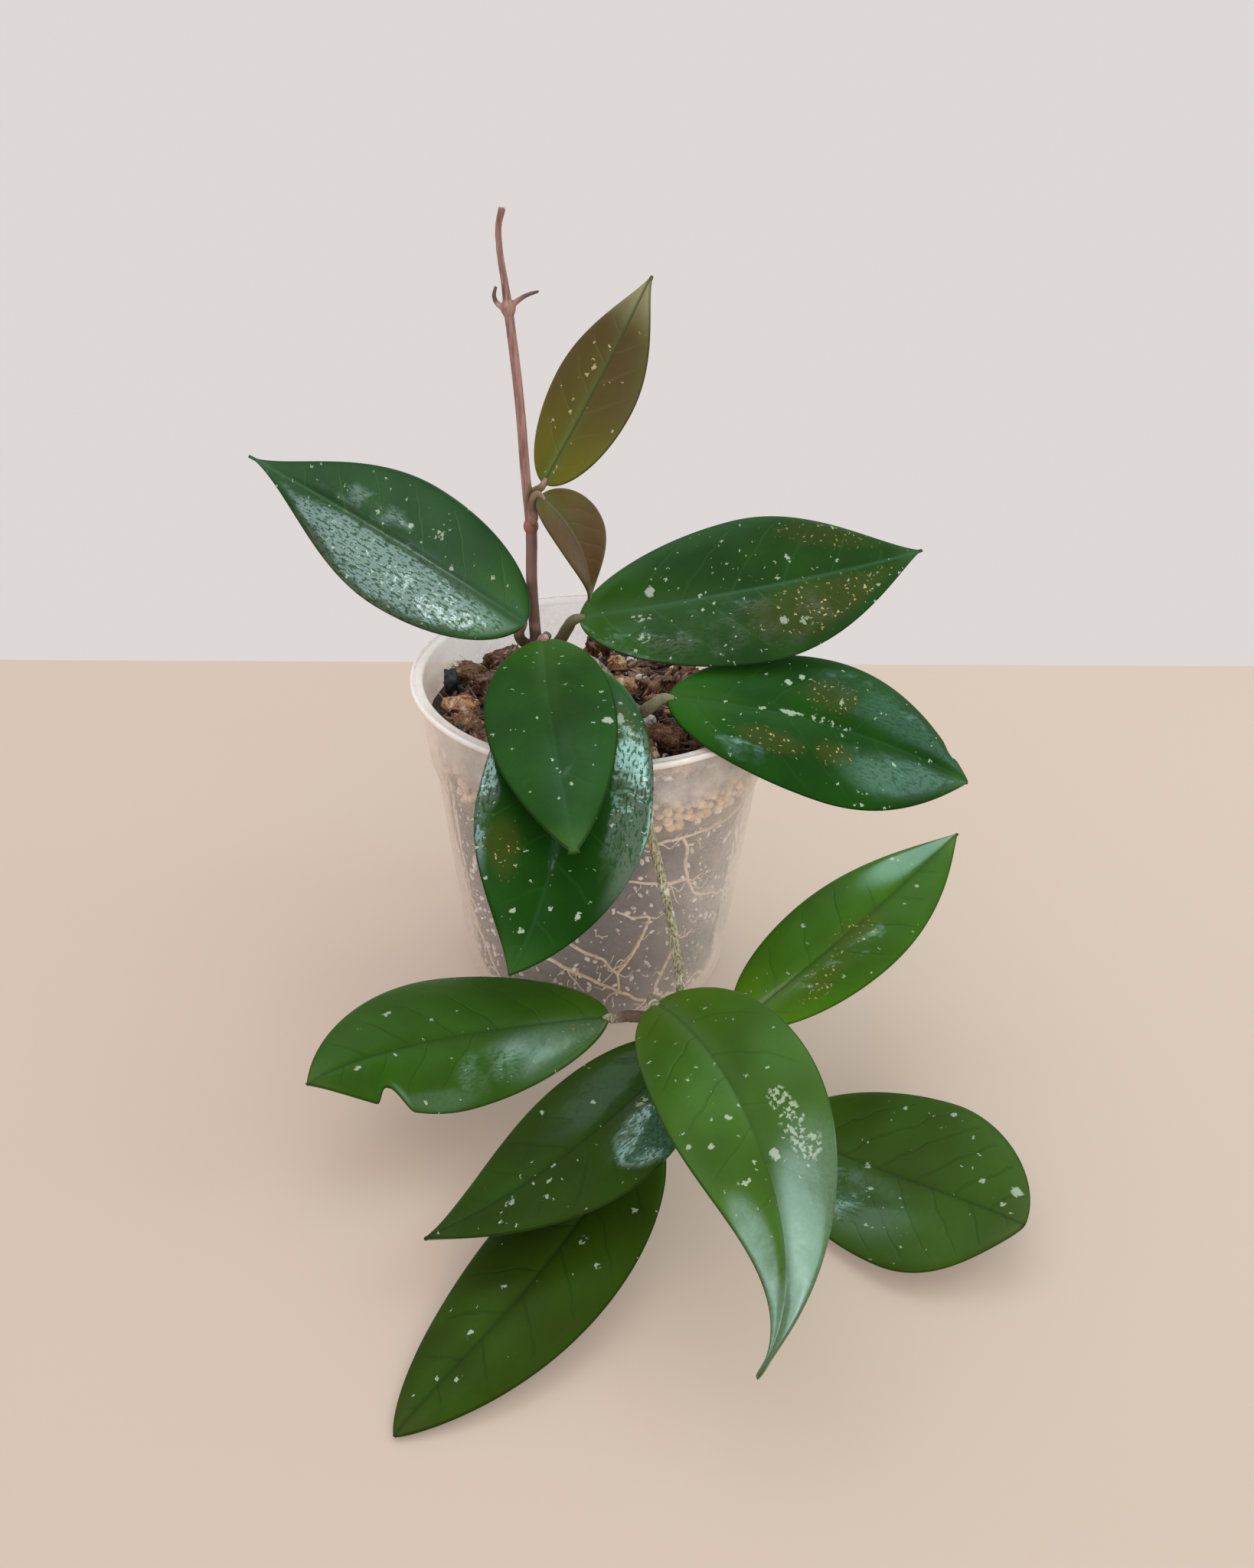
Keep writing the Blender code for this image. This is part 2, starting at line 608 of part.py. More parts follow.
def make_swelling(centre, radius, material):
    shape = bmesh.new()
    bmesh.ops.create_icosphere(shape, subdivisions=2, radius=radius)
    bmesh.ops.scale(shape, vec=(1, 1, SWELLING_STRETCH), verts=shape.verts)
    bmesh.ops.translate(shape, vec=centre, verts=shape.verts)
    return object_from("swelling", shape, material)


def make_stem(name, route, swellings, petioles, shoots, material):
    stem = make_tube(name, [point[:3] for point in route], [point[3] for point in route], material)
    branches = [make_swelling(centre, radius, material) for centre, radius in swellings]
    branches += [make_petiole(leaf, *growth, material) for leaf, growth in petioles.items()]
    for points, first, last in shoots:
        radii = [first + (last - first) * index / (len(points) - 1) for index in range(len(points))]
        branches.append(make_tube("shoot", points, radii, material, sides=1, resolution=2))
    return combine(stem, branches, "UNION")


def on_wall(angle, height):
    """A root's centre where it lies against the flats of the wall's inside."""
    radius = wall_inside(height) * math.cos(math.pi / POT_SIDES) - SEAT_GAP - ROOT_RADIUS
    turn = math.radians(angle)
    return Vector((radius * math.sin(turn), -radius * math.cos(turn), height))


def make_roots(name, runs, material):
    threads = []
    for run in runs:
        points = [on_wall(*run[0])]
        for (angle, height), (next_angle, next_height) in zip(run, run[1:]):
            steps = max(1, math.ceil(abs(next_angle - angle) / ROOT_TURN))
            turn, rise = (next_angle - angle) / steps, (next_height - height) / steps
            points += [on_wall(angle + turn * step, height + rise * step) for step in range(1, steps + 1)]
        threads.append(make_tube(name, points, [ROOT_RADIUS] * len(points), material, sides=1, resolution=1))
    return combine(threads[0], threads[1:], "UNION")


def wandering_runs(seed, angle):
    """A main root that winds down the wall, and side roots that leave it."""
    draw = random.Random(seed)
    height = WANDER_TOP
    main = [(angle, height)]
    for _ in range(WANDER_STEPS):
        angle += draw.uniform(*WANDER_TURN)
        height -= draw.uniform(*WANDER_DROP)
        main.append((angle, height))
    runs = [main]
    for branch in range(SIDE_ROOTS):
        angle, height = main[1 + 2 * branch]
        lean = draw.choice((-1, 1))
        run = [(angle, height)]
        for _ in range(SIDE_STEPS):
            angle += lean * draw.uniform(*SIDE_TURN)
            height = max(height - draw.uniform(*SIDE_DROP), LOWEST_ROOT)
            run.append((angle, height))
        runs.append(run)
    return runs


def main():
    clear_scene()
    materials = make_materials()
    make_pot(materials["clear_plastic"])
    make_mix(materials["potting_mix"], make_chunks(materials))
    make_roots("roots_front_low", FRONT_LOW_ROOTS, materials["root"])
    make_roots("roots_front_high", FRONT_HIGH_ROOTS, materials["root"])
    for name, (seed, angle) in WANDERING_ROOTS.items():
        make_roots(name, wandering_runs(seed, angle), materials["root"])
    make_stem("main_stem", MAIN_STEM, MAIN_NODES, MAIN_PETIOLES, MAIN_SHOOTS, materials["stem"])
    make_stem("trailing_vine", TRAILING_VINE, VINE_NODES, VINE_PETIOLES, (), materials["vine_bark"])
    for name, leaf in LEAVES.items():
        blade = make_blade(name, leaf, materials[leaf.colour])
        if name == "leaf_low_left_notched":
            notch(blade, leaf)


main()
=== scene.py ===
"""Dresses the potted wax plant: thick waxy leaves on two stems, a bark mix and the clear pot around it.

Sizes are in millimetres and degrees unless a name says otherwise. +Z is up and -Y is the front.
"""

import logging
import math
import random
from dataclasses import dataclass, field
from enum import Enum

import bmesh
import bpy
from mathutils import Matrix, Vector, noise

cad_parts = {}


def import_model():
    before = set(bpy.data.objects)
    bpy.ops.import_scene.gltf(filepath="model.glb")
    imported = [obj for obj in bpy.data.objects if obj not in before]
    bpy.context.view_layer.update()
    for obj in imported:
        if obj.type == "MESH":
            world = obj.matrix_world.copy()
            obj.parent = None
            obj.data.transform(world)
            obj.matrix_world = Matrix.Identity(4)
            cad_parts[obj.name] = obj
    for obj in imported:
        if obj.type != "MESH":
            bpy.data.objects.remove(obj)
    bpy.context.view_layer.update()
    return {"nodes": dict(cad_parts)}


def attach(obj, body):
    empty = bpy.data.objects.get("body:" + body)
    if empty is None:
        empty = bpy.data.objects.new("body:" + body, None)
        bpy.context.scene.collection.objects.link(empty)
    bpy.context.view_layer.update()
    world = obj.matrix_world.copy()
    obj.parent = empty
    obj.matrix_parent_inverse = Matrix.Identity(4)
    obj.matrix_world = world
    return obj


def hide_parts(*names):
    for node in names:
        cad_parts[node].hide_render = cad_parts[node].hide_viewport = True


log = logging.getLogger("wax_plant")

MM = 0.001
BODY = "root"
MIX_COLOURS, MIX_RESULT = (6, 7), 2  # where a Mix node has its two colours and the mixed one

Colour = tuple[float, float, float]
Point = tuple[float, float, float]
Socket = bpy.types.NodeSocket


def smooth(value: float, low: float = 0.0, high: float = 1.0) -> float:
    """Eases from 0 at low to 1 at high."""
    share = min(max((value - low) / (high - low), 0.0), 1.0)
    return share * share * (3 - 2 * share)


class Recipe:
    """One material, with short calls that add nodes to it."""

    def __init__(self, name: str) -> None:
        """Starts a material that holds one Principled shader.

        Args:
            name: the material's name.
        """
        self.material = bpy.data.materials.new(name)
        self.material.use_nodes = True
        self.tree = self.material.node_tree
        self.shader = self.tree.nodes["Principled BSDF"]

    def feed(self, socket: Socket, value: object) -> None:
        """Links a socket, or sets its value.

        Args:
            socket: the input that takes it.
            value: a socket to link, or a plain value.
        """
        if isinstance(value, bpy.types.NodeSocket):
            self.tree.links.new(value, socket)
        else:
            socket.default_value = value

    def node(self, kind: str, inputs: dict[str, object], **settings: object) -> bpy.types.Node:
        """Adds a node.

        Args:
            kind: the node's type.
            inputs: a value or a socket for each input, by its name.
            **settings: the node's own properties.

        Returns:
            The new node.
        """
        made = self.tree.nodes.new(kind)
        for key, value in settings.items():
            setattr(made, key, value)
        for key, value in inputs.items():
            self.feed(made.inputs[key], value)
        return made

    def place(self) -> Socket:
        """The point on the piece, in metres."""
        return self.node("ShaderNodeTexCoord", {}).outputs["Object"]

    def value(self, name: str) -> Socket:
        """A number that the mesh carries at each point."""
        return self.node("ShaderNodeAttribute", {}, attribute_name=name).outputs["Fac"]

    def vector(self, name: str) -> Socket:
        """A vector that the mesh carries at each point."""
        return self.node("ShaderNodeAttribute", {}, attribute_name=name).outputs["Vector"]

    def maths(self, operation: str, *values: object, kind: str = "Math") -> Socket:
        """Works out a number, or a vector.

        Args:
            operation: the node's operation.
            *values: a plain value or a socket for each input.
            kind: Math, or VectorMath for vectors.

        Returns:
            The result's socket.
        """
        made = self.node("ShaderNode" + kind, {}, operation=operation)
        for socket, value in zip(made.inputs, values):
            self.feed(socket, value)
        return made.outputs["Value" if kind == "Math" or operation == "LENGTH" else "Vector"]

    def vectors(self, operation: str, *values: object) -> Socket:
        """Works out a vector, or its length."""
        return self.maths(operation, *values, kind="VectorMath")

    def times(self, first: object, second: object) -> Socket:
        """One number times another."""
        return self.maths("MULTIPLY", first, second)

    def plus(self, first: object, second: object) -> Socket:
        """One number and another."""
        return self.maths("ADD", first, second)

    def minus(self, first: object, second: object) -> Socket:
        """One number less another."""
        return self.maths("SUBTRACT", first, second)

    def larger(self, first: object, second: object) -> Socket:
        """The larger of two numbers."""
        return self.maths("MAXIMUM", first, second)

    def size(self, value: object) -> Socket:
        """A number without its sign."""
        return self.maths("ABSOLUTE", value)

    def split(self, vector: Socket) -> bpy.types.bpy_prop_collection:
        """The X, Y and Z of a vector, or the three parts of a colour."""
        return self.node("ShaderNodeSeparateXYZ", {"Vector": vector}).outputs

    def stretched(self, vector: Socket, scale: Point, shift: Point = (0.0, 0.0, 0.0)) -> Socket:
        """Scales and shifts the coordinates that a pattern reads."""
        made = self.node("ShaderNodeMapping", {"Vector": vector, "Scale": scale, "Location": shift})
        return made.outputs["Vector"]

    def grain(self, vector: Socket, scale: float, detail: float = 3.0, roughness: float = 0.5) -> Socket:
        """Soft noise from 0 to 1.

        Args:
            vector: the coordinates that it reads.
            scale: waves for each unit of them.
            detail: how many finer layers it has.
            roughness: how strong those are.

        Returns:
            The noise's socket.
        """
        inputs = {"Vector": vector, "Scale": scale, "Detail": detail, "Roughness": roughness}
        return self.node("ShaderNodeTexNoise", inputs).outputs[0]

    def cells(self, vector: Socket, scale: float, flat: bool = False) -> bpy.types.Node:
        """Scattered cells, in a plane or in space, with each cell's distance and random colour."""
        plan = "2D" if flat else "3D"
        return self.node("ShaderNodeTexVoronoi", {"Vector": vector, "Scale": scale}, voronoi_dimensions=plan)

    def ruffled(self, vector: Socket, scale: float, detail: float, reach: float, back: float = 0.5) -> Socket:
        """Coordinates that wander, so that what reads them has ragged edges.

        Args:
            vector: the flat coordinates.
            scale: waves for each unit of them.
            detail: how many finer layers the waves have.
            reach: how far they move a point at most.
            back: the share of the reach that is taken off again.

        Returns:
            The moved coordinates.
        """
        inputs = {"Vector": vector, "Scale": scale, "Detail": detail}
        wander = self.node("ShaderNodeTexNoise", inputs).outputs["Color"]
        moved = self.stretched(wander, (reach, reach, 0.0), (-back * reach, -back * reach, 0.0))
        return self.vectors("ADD", vector, moved)

    def ease(self, value: object, low: object, high: object, start: float = 0.0, end: float = 1.0) -> Socket:
        """Eases from start, where value is low, to end, where it is high.

        Args:
            value: the number that drives it.
            low: where it begins.
            high: where it ends.
            start: the result at low.
            end: the result at high.

        Returns:
            The result's socket.
        """
        inputs = {"Value": value, "From Min": low, "From Max": high, "To Min": start, "To Max": end}
        made = self.node("ShaderNodeMapRange", inputs, interpolation_type="SMOOTHSTEP")
        return made.outputs[0]

    def blend(self, share: object, first: object, second: object) -> Socket:
        """Mixes two colours.

        Args:
            share: how much of the second shows.
            first: a colour of three numbers, or a socket.
            second: the other colour.

        Returns:
            The mixed colour's socket.
        """
        made = self.tree.nodes.new("ShaderNodeMix")
        made.data_type = "RGBA"
        self.feed(made.inputs[0], share)
        for index, colour in zip(MIX_COLOURS, (first, second)):
            self.feed(made.inputs[index], (*colour, 1.0) if isinstance(colour, tuple) else colour)
        return made.outputs[MIX_RESULT]

    def layered(self, colour: object, *layers: tuple[object, object]) -> Socket:
        """Lays colours over a first one.

        Args:
            colour: the first colour.
            *layers: the share and the colour of each one over it.

        Returns:
            The colour's socket.
        """
        for share, over in layers:
            colour = self.blend(share, colour, over)
        return colour

    def relief(self, height: Socket, depth: float, over: Socket | None = None) -> Socket:
        """Raises the surface by a height from 0 to 1.

        Args:
            height: the height's socket.
            depth: how high 1 is, in millimetres.
            over: a normal that it adds to.

        Returns:
            The normal's socket.
        """
        inputs = {"Height": height, "Distance": depth * MM, "Strength": 1.0}
        if over is not None:
            inputs["Normal"] = over
        return self.node("ShaderNodeBump", inputs).outputs[0]

    def finish(self, **inputs: object) -> bpy.types.Material:
        """Sets the shader's inputs.

        Args:
            **inputs: a value or a socket for each input, by its name with _ for a space.

        Returns:
            The material.
        """
        for key, value in inputs.items():
            name = key.replace("_", " ").title().replace("Ior", "IOR")
            self.feed(self.shader.inputs[name], (*value, 1.0) if isinstance(value, tuple) else value)
        return self.material


def dress(piece: bpy.types.Object, slot: str, *nodes: str) -> bpy.types.Object:
    """Fixes a finished piece to the plant's body and reports it.

    Args:
        piece: the object, with its place in its mesh.
        slot: the piece's material slot; not used.
        *nodes: the CAD nodes that it stands for.

    Returns:
        The piece.
    """
    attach(piece, BODY)
    if nodes:
        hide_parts(*nodes)
    log.info("%s: %d faces, for %s", piece.name, len(piece.data.polygons), ", ".join(nodes) or "no node")
    return piece


def placed(name: str, data: bpy.types.ID) -> bpy.types.Object:
    """Makes an object and links it to the scene.

    Args:
        name: its name.
        data: its mesh, curve, light or camera.

    Returns:
        The object.
    """
    item = bpy.data.objects.new(name, data)
    bpy.context.scene.collection.objects.link(item)
    return item


def mesh_of(name: str, shape: bmesh.types.BMesh) -> bpy.types.Mesh:
    """Turns a shape into a mesh.

    Args:
        name: the mesh's name.
        shape: the shape, which is freed.

    Returns:
        The mesh.
    """
    mesh = bpy.data.meshes.new(name)
    shape.to_mesh(mesh)
    shape.free()
    return mesh


def in_millimetres(mesh: bpy.types.Mesh) -> bmesh.types.BMesh:
    """Opens a mesh as a shape.

    Args:
        mesh: the mesh, in metres.

    Returns:
        The shape, in millimetres.
    """
    shape = bmesh.new()
    shape.from_mesh(mesh)
    bmesh.ops.scale(shape, vec=(1 / MM, 1 / MM, 1 / MM), verts=shape.verts)
    return shape


def object_of(name: str, shape: bmesh.types.BMesh, *materials: bpy.types.Material) -> bpy.types.Object:
    """Turns a shape in millimetres into a smooth object in metres.

    Args:
        name: the piece's name.
        shape: the shape, which is freed.
        *materials: its materials, in the order of the faces' indices.

    Returns:
        The object, linked to the scene.
    """
    bmesh.ops.scale(shape, vec=(MM, MM, MM), verts=shape.verts)
    mesh = mesh_of(name, shape)
    mesh.shade_smooth()
    for material in materials:
        mesh.materials.append(material)
    return placed(name, mesh)


def spun(outline: list[tuple[float, float]], sides: int) -> bmesh.types.BMesh:
    """Turns a cut shape about Z into a closed skin.

    Args:
        outline: its radii and heights, from the axis back to the axis.
        sides: how fine its round is.

    Returns:
        The shape.
    """
    shape = bmesh.new()
    corners = [shape.verts.new((radius, 0, height)) for radius, height in outline]
    edges = [shape.edges.new(pair) for pair in zip(corners, corners[1:])]
    way = {"cent": (0, 0, 0), "axis": (0, 0, 1), "angle": math.tau, "steps": sides, "use_merge": True}
    bmesh.ops.spin(shape, geom=corners + edges, **way)
    bmesh.ops.remove_doubles(shape, verts=shape.verts, dist=0.001)
    bmesh.ops.recalc_face_normals(shape, faces=shape.faces)
    return shape


def round_axis(angle: float, away: float, height: float) -> Vector:
    """A point round Z, with its angle in radians."""
    return Vector((away * math.cos(angle), away * math.sin(angle), height))


def baked(item: bpy.types.Object) -> bpy.types.Mesh:
    """Takes the mesh that an object's modifiers or its curve give, and removes the object.

    Args:
        item: the object.

    Returns:
        The mesh.
    """
    graph = bpy.context.evaluated_depsgraph_get()
    mesh = bpy.data.meshes.new_from_object(item.evaluated_get(graph))
    bpy.data.objects.remove(item, do_unlink=True)
    return mesh


def tube(points: list[Vector], radii: list[float], sides: int = 5, steps: int = 8) -> bpy.types.Mesh:
    """A round tube through points, in millimetres.

    Args:
        points: the points that its middle passes.
        radii: its radius at each of them.
        sides: how fine its round is.
        steps: how many steps it takes between two points.

    Returns:
        The tube's mesh, closed at both ends.
    """
    curve = bpy.data.curves.new("tube", "CURVE")
    curve.dimensions = "3D"
    curve.bevel_depth = 1.0
    curve.bevel_resolution = sides
    curve.resolution_u = steps
    curve.use_fill_caps = True
    spline = curve.splines.new("BEZIER")
    spline.bezier_points.add(len(points) - 1)
    for knot, point, radius in zip(spline.bezier_points, points, radii):
        knot.co = point
        knot.radius = radius
        knot.handle_left_type = knot.handle_right_type = "AUTO"
    return baked(placed("tube", curve))


@dataclass(frozen=True)
class VeinPlan:
    """Where a blade's side veins run: how many pairs, and how they lean and bend towards the tip."""

    pairs: int = 6
    lean: float = 0.62
    bend: float = 0.012
    stagger: float = 0.45
    width: float = 0.8

    def spacing(self, length: float) -> float:
        """The distance between two veins on one side."""
        return length / (self.pairs + 1)

    def phase(self, length: float, x: float, y: float) -> float:
        """How far a point lies between two veins.

        Args:
            length: the blade's length.
            x: the point's way along the midrib.
            y: its way across.

        Returns:
            A share from -0.5 to 0.5, with a vein at 0.
        """
        out = abs(y)
        turn = (x - self.lean * out - self.bend * out * out) / self.spacing(length)
        turn += self.stagger * (y > 0)
        return turn - math.floor(turn) - 0.5


@dataclass(frozen=True)
class LeafFinish:
    """A blade's skin: greens, veins, silver flecks, painted sheen and warm reflections, and how it shines."""

    body: Colour
    shade: Colour
    base: Colour
    tip: Colour
    vein: Colour
    underside: Colour
    vein_show: float = 0.35
    midrib: Colour = (0.02, 0.07, 0.02)
    midrib_show: float = 0.5
    fleck: Colour = (0.36, 0.45, 0.34)
    fleck_share: float = 0.1
    # painted warm reflection: a gold tint, and the bright glint specks over it
    warm_reflection: Colour = (0.11, 0.09, 0.02)
    glint: Colour = (0.55, 0.42, 0.16)
    glow: Colour = (0.07, 0.15, 0.045)
    glow_show: float = 0.35
    # colour of the painted sheen
    painted_sheen: Colour = (0.11, 0.29, 0.25)
    gloss_tint: Colour = (0.8, 1.0, 0.45)
    roughness: float = 0.36
    base_reach: float = 0.3
    tip_reach: float = 0.12


class LeafSkin(Recipe):
    """The material of a blade's upper side or of its underside."""

    fleck_show = 0.92
    warm_reflection_show = 0.25
    dash_show = 0.85
    rim_shade_share = 0.25
    underside_range = (0.8, 1.5)
    whole_turns = 20.0
    drops = ((0.34, 0.22, 1.0), (0.7, 0.3, 0.4))

    def __init__(self, name: str, leaf: "Leaf") -> None:
        """Starts the material.

        Args:
            name: the material's name.
            leaf: the blade that it covers.
        """
        super().__init__(name)
        self.leaf, self.look = leaf, leaf.tone.value
        self.flat, self.along = self.vector("flat"), self.value("share")

    def veins(self) -> tuple[Socket, Socket]:
        """Draws the midrib and the side veins.

        Returns:
            The midrib's and the veins' strength.
        """
        plan, spacing = self.leaf.veins, self.leaf.veins.spacing(self.leaf.length)
        moved = self.split(self.ruffled(self.flat, 0.12, 1.0, 3.0))
        across = self.split(self.flat)["Y"]
        out = self.size(moved["Y"])
        turn = self.minus(moved["X"], self.times(out, plan.lean))
        turn = self.minus(turn, self.times(self.times(out, out), plan.bend))
        side = self.times(self.maths("GREATER_THAN", across, 0.0), plan.stagger)
        turn = self.plus(self.plus(self.maths("DIVIDE", turn, spacing), side), self.whole_turns)
        away = self.times(self.size(self.minus(self.maths("FRACT", turn), 0.5)), spacing)
        line = self.ease(away, 0.1, plan.width, 1.0, 0.0)
        rib = self.ease(self.size(across), 0.15, 0.8, 1.0, 0.0)
        return rib, self.times(line, self.ease(self.value("rim"), 1.5, 6.0))

    def flecks(self) -> Socket:
        """Scatters small silver flecks and puts the larger splashes in their places.

        Returns:
            How much silver shows.
        """
        leaf, share = self.leaf, self.look.fleck_share * self.leaf.flecked
        found = self.specks(leaf.seed, 0.62, share, 0.26)
        found = self.larger(found, self.specks(leaf.seed + 0.5, 0.24, share / 2, 0.17))
        torn = self.ruffled(self.flat, 0.9, 3.0, 2.6)
        crumbs = self.ease(self.cells(torn, 0.75).outputs["Distance"], 0.38, 0.52, 1.0, 0.0)
        for splash in leaf.splashes:
            middle = (-splash.along * leaf.length, -splash.across * leaf.half_width(splash.along), 0.0)
            away = self.stretched(torn, (1.0, 1.0, 0.0), middle)
            away = self.stretched(away, (1 / (splash.size * splash.stretch), 1 / splash.size, 1.0))
            full = self.ease(self.vectors("LENGTH", away), 0.7, 1.0, 1.0, 0.0)
            found = self.larger(found, self.times(full, crumbs) if splash.broken else full)
        return found

    def specks(self, seed: float, scale: float, share: float, size: float) -> Socket:
        """Scatters small ragged specks in loose clusters.

        Args:
            seed: moves the pattern, so that no two blades match.
            scale: cells for each millimetre.
            share: how many of the cells hold a speck where they are thickest.
            size: the largest speck's reach in its cell.

        Returns:
            How much they show.
        """
        flat = self.stretched(self.flat, (1.0, 1.0, 0.0), (seed * 31.0, seed * 17.0, 0.0))
        cells = self.cells(self.ruffled(flat, 1.0, 3.0, 2.4, 0.0), scale, flat=True).outputs
        dice = self.split(cells["Color"])
        reach = self.ease(dice["Y"], 0.0, 1.0, size * 0.35, size)
        spot = self.ease(cells["Distance"], self.times(reach, 0.6), reach, 1.0, 0.0)
        crowd = self.ease(self.grain(flat, 0.06, 2.0), 0.35, 0.7, 0.15, 1.0)
        return self.times(spot, self.maths("LESS_THAN", dice["X"], self.times(crowd, share)))

    def greens(self, rib: Socket, vein: Socket) -> Socket:
        """The blade's colour: clouded, paler at the base, the tip and the middle, veined, with painted shade
        at the rim.

        Args:
            rib: the midrib's strength.
            vein: the side veins' strength.

        Returns:
            The colour's socket.
        """
        leaf, look = self.leaf, self.look
        shifted = self.stretched(self.flat, (1, 1, 1), (leaf.seed * 30, 0, 0))
        strip = self.ease(self.size(self.split(self.flat)["Y"]), 1.0, 5.5, 1.0, 0.0)
        strip = self.times(strip, self.ease(self.along, 0.02, 0.6, look.glow_show, 0.0))
        # painted shade: a dark line along the rounded rim
        rim = tuple(part * self.rim_shade_share for part in look.shade)
        tints = (look.body, look.shade, look.base, look.tip, look.glow)
        body, shade, base, tip, glow = map(leaf.tinted, tints)
        return self.layered(
            body,
            (self.ease(self.grain(shifted, 0.05, 3.0), 0.3, 0.7), shade),
            (self.ease(self.grain(self.flat, 0.8, 2.0), 0.3, 0.7, 0.0, 0.22), shade),
            (self.ease(self.along, 0.0, look.base_reach, 0.85, 0.0), base),
            (self.ease(self.along, 1 - look.tip_reach, 1.0), tip),
            (strip, glow),
            (self.times(vein, look.vein_show * leaf.veined), look.vein),
            (self.times(rib, look.midrib_show * leaf.ribbed), look.midrib),
            (self.ease(self.value("rim"), 0.2, 0.7, 0.5, 0.0), rim),
        )

    def water(self, wet: Socket) -> Socket:
        """The water on the blade: slow waves, and drops of two sizes.

        Args:
            wet: how wet each point is.

        Returns:
            The water's height.
        """
        height = self.times(self.grain(self.flat, 0.16, 3.0, 0.5), 1.4)
        for scale, share, rise in self.drops:
            cells = self.cells(self.stretched(self.flat, (0.7, 1.0, 0.0)), scale, flat=True).outputs
            dice = self.split(cells["Color"])
            reach = self.ease(dice["Y"], 0.0, 1.0, 0.08, 0.36)
            dome = self.ease(cells["Distance"], self.times(reach, 0.3), reach, rise, 0.0)
            dome = self.times(dome, self.maths("LESS_THAN", dice["X"], share))
            height = self.plus(height, self.times(dome, reach))
        return self.times(height, wet)

    def top(self) -> bpy.types.Material:
        """The upper side: greens under silver flecks, painted warm reflections and painted sheen, with wet
        and glossy patches.

        Returns:
            The material.
        """
        flat, leaf, look = self.flat, self.leaf, self.look
        rib, vein = self.veins()
        torn = self.minus(self.grain(flat, 0.12, 2.0, 0.5), 0.5)
        wet = self.ease(self.plus(self.value("wet"), torn), 0.2, 0.7)
        sheen = self.ease(self.value("sheen"), 0.0, 1.0)
        # painted warm reflections: a gold tint and bright glint specks where the blade mirrors warm light
        warm_reflection = self.value("warm_reflection")
        # painted sheen: a broken teal tint laid into the colour where the blade is wet or glossy, standing in
        # for its reflection
        painted_sheen_share = self.ease(self.grain(flat, 0.9, 4.0, 0.7), 0.42, 0.58, 0.35 * leaf.painted_sheen, leaf.painted_sheen)
        colour = self.layered(
            self.greens(rib, vein),
            (self.times(self.flecks(), self.fleck_show), look.fleck),
            (self.times(warm_reflection, self.warm_reflection_show), look.warm_reflection),
            (self.times(self.specks(leaf.seed + 9, 0.7, 0.5, 0.3), warm_reflection), look.glint),
            (self.times(self.larger(wet, sheen), painted_sheen_share), look.painted_sheen),
        )
        dash = self.grain(self.stretched(flat, (0.5, 1.4, 1.0), (leaf.seed * 7.0, 0, 0)), 0.9, 2.0, 0.6)
        dash = self.times(self.ease(dash, 0.53, 0.57), self.ease(self.value("wet"), 0.0, 0.4))
        coat = self.larger(self.times(wet, 0.9), sheen)
        coat = self.times(coat, self.minus(1.0, self.times(dash, self.dash_show)))
        skin = self.grain(flat, 1.3, 2.0, 0.5)
        dull = self.ease(skin, 0.25, 0.75, look.roughness - 0.04, look.roughness + 0.05)
        waves = self.relief(self.grain(flat, 0.2, 2.0, 0.5), 0.12)
        return self.finish(
            base_color=colour,
            roughness=self.minus(dull, self.times(coat, 0.1)),
            specular_ior_level=leaf.gloss,
            specular_tint=look.gloss_tint,
            coat_weight=self.times(coat, 0.95),
            coat_roughness=leaf.coat_roughness,
            coat_ior=leaf.coat_ior,
            normal=self.relief(self.times(vein, -1.0), 0.06, self.relief(skin, 0.02)),
            coat_normal=self.relief(self.water(wet), 0.28, waves),
        )

    def under(self) -> bpy.types.Material:
        """The underside: paler and duller, with the midrib standing out.

        Returns:
            The material.
        """
        rib, vein = self.veins()
        plain = self.look.underside
        dark, pale = (tuple(part * share for part in plain) for share in self.underside_range)
        cloud = self.ease(self.grain(self.flat, 0.09, 4.0), 0.3, 0.7)
        colour = self.layered(plain, (cloud, dark), (self.larger(rib, self.times(vein, 0.3)), pale))
        normal = self.relief(self.grain(self.flat, 1.3, 3.0, 0.6), 0.05)
        return self.finish(base_color=colour, roughness=0.48, specular_ior_level=0.3, normal=normal)


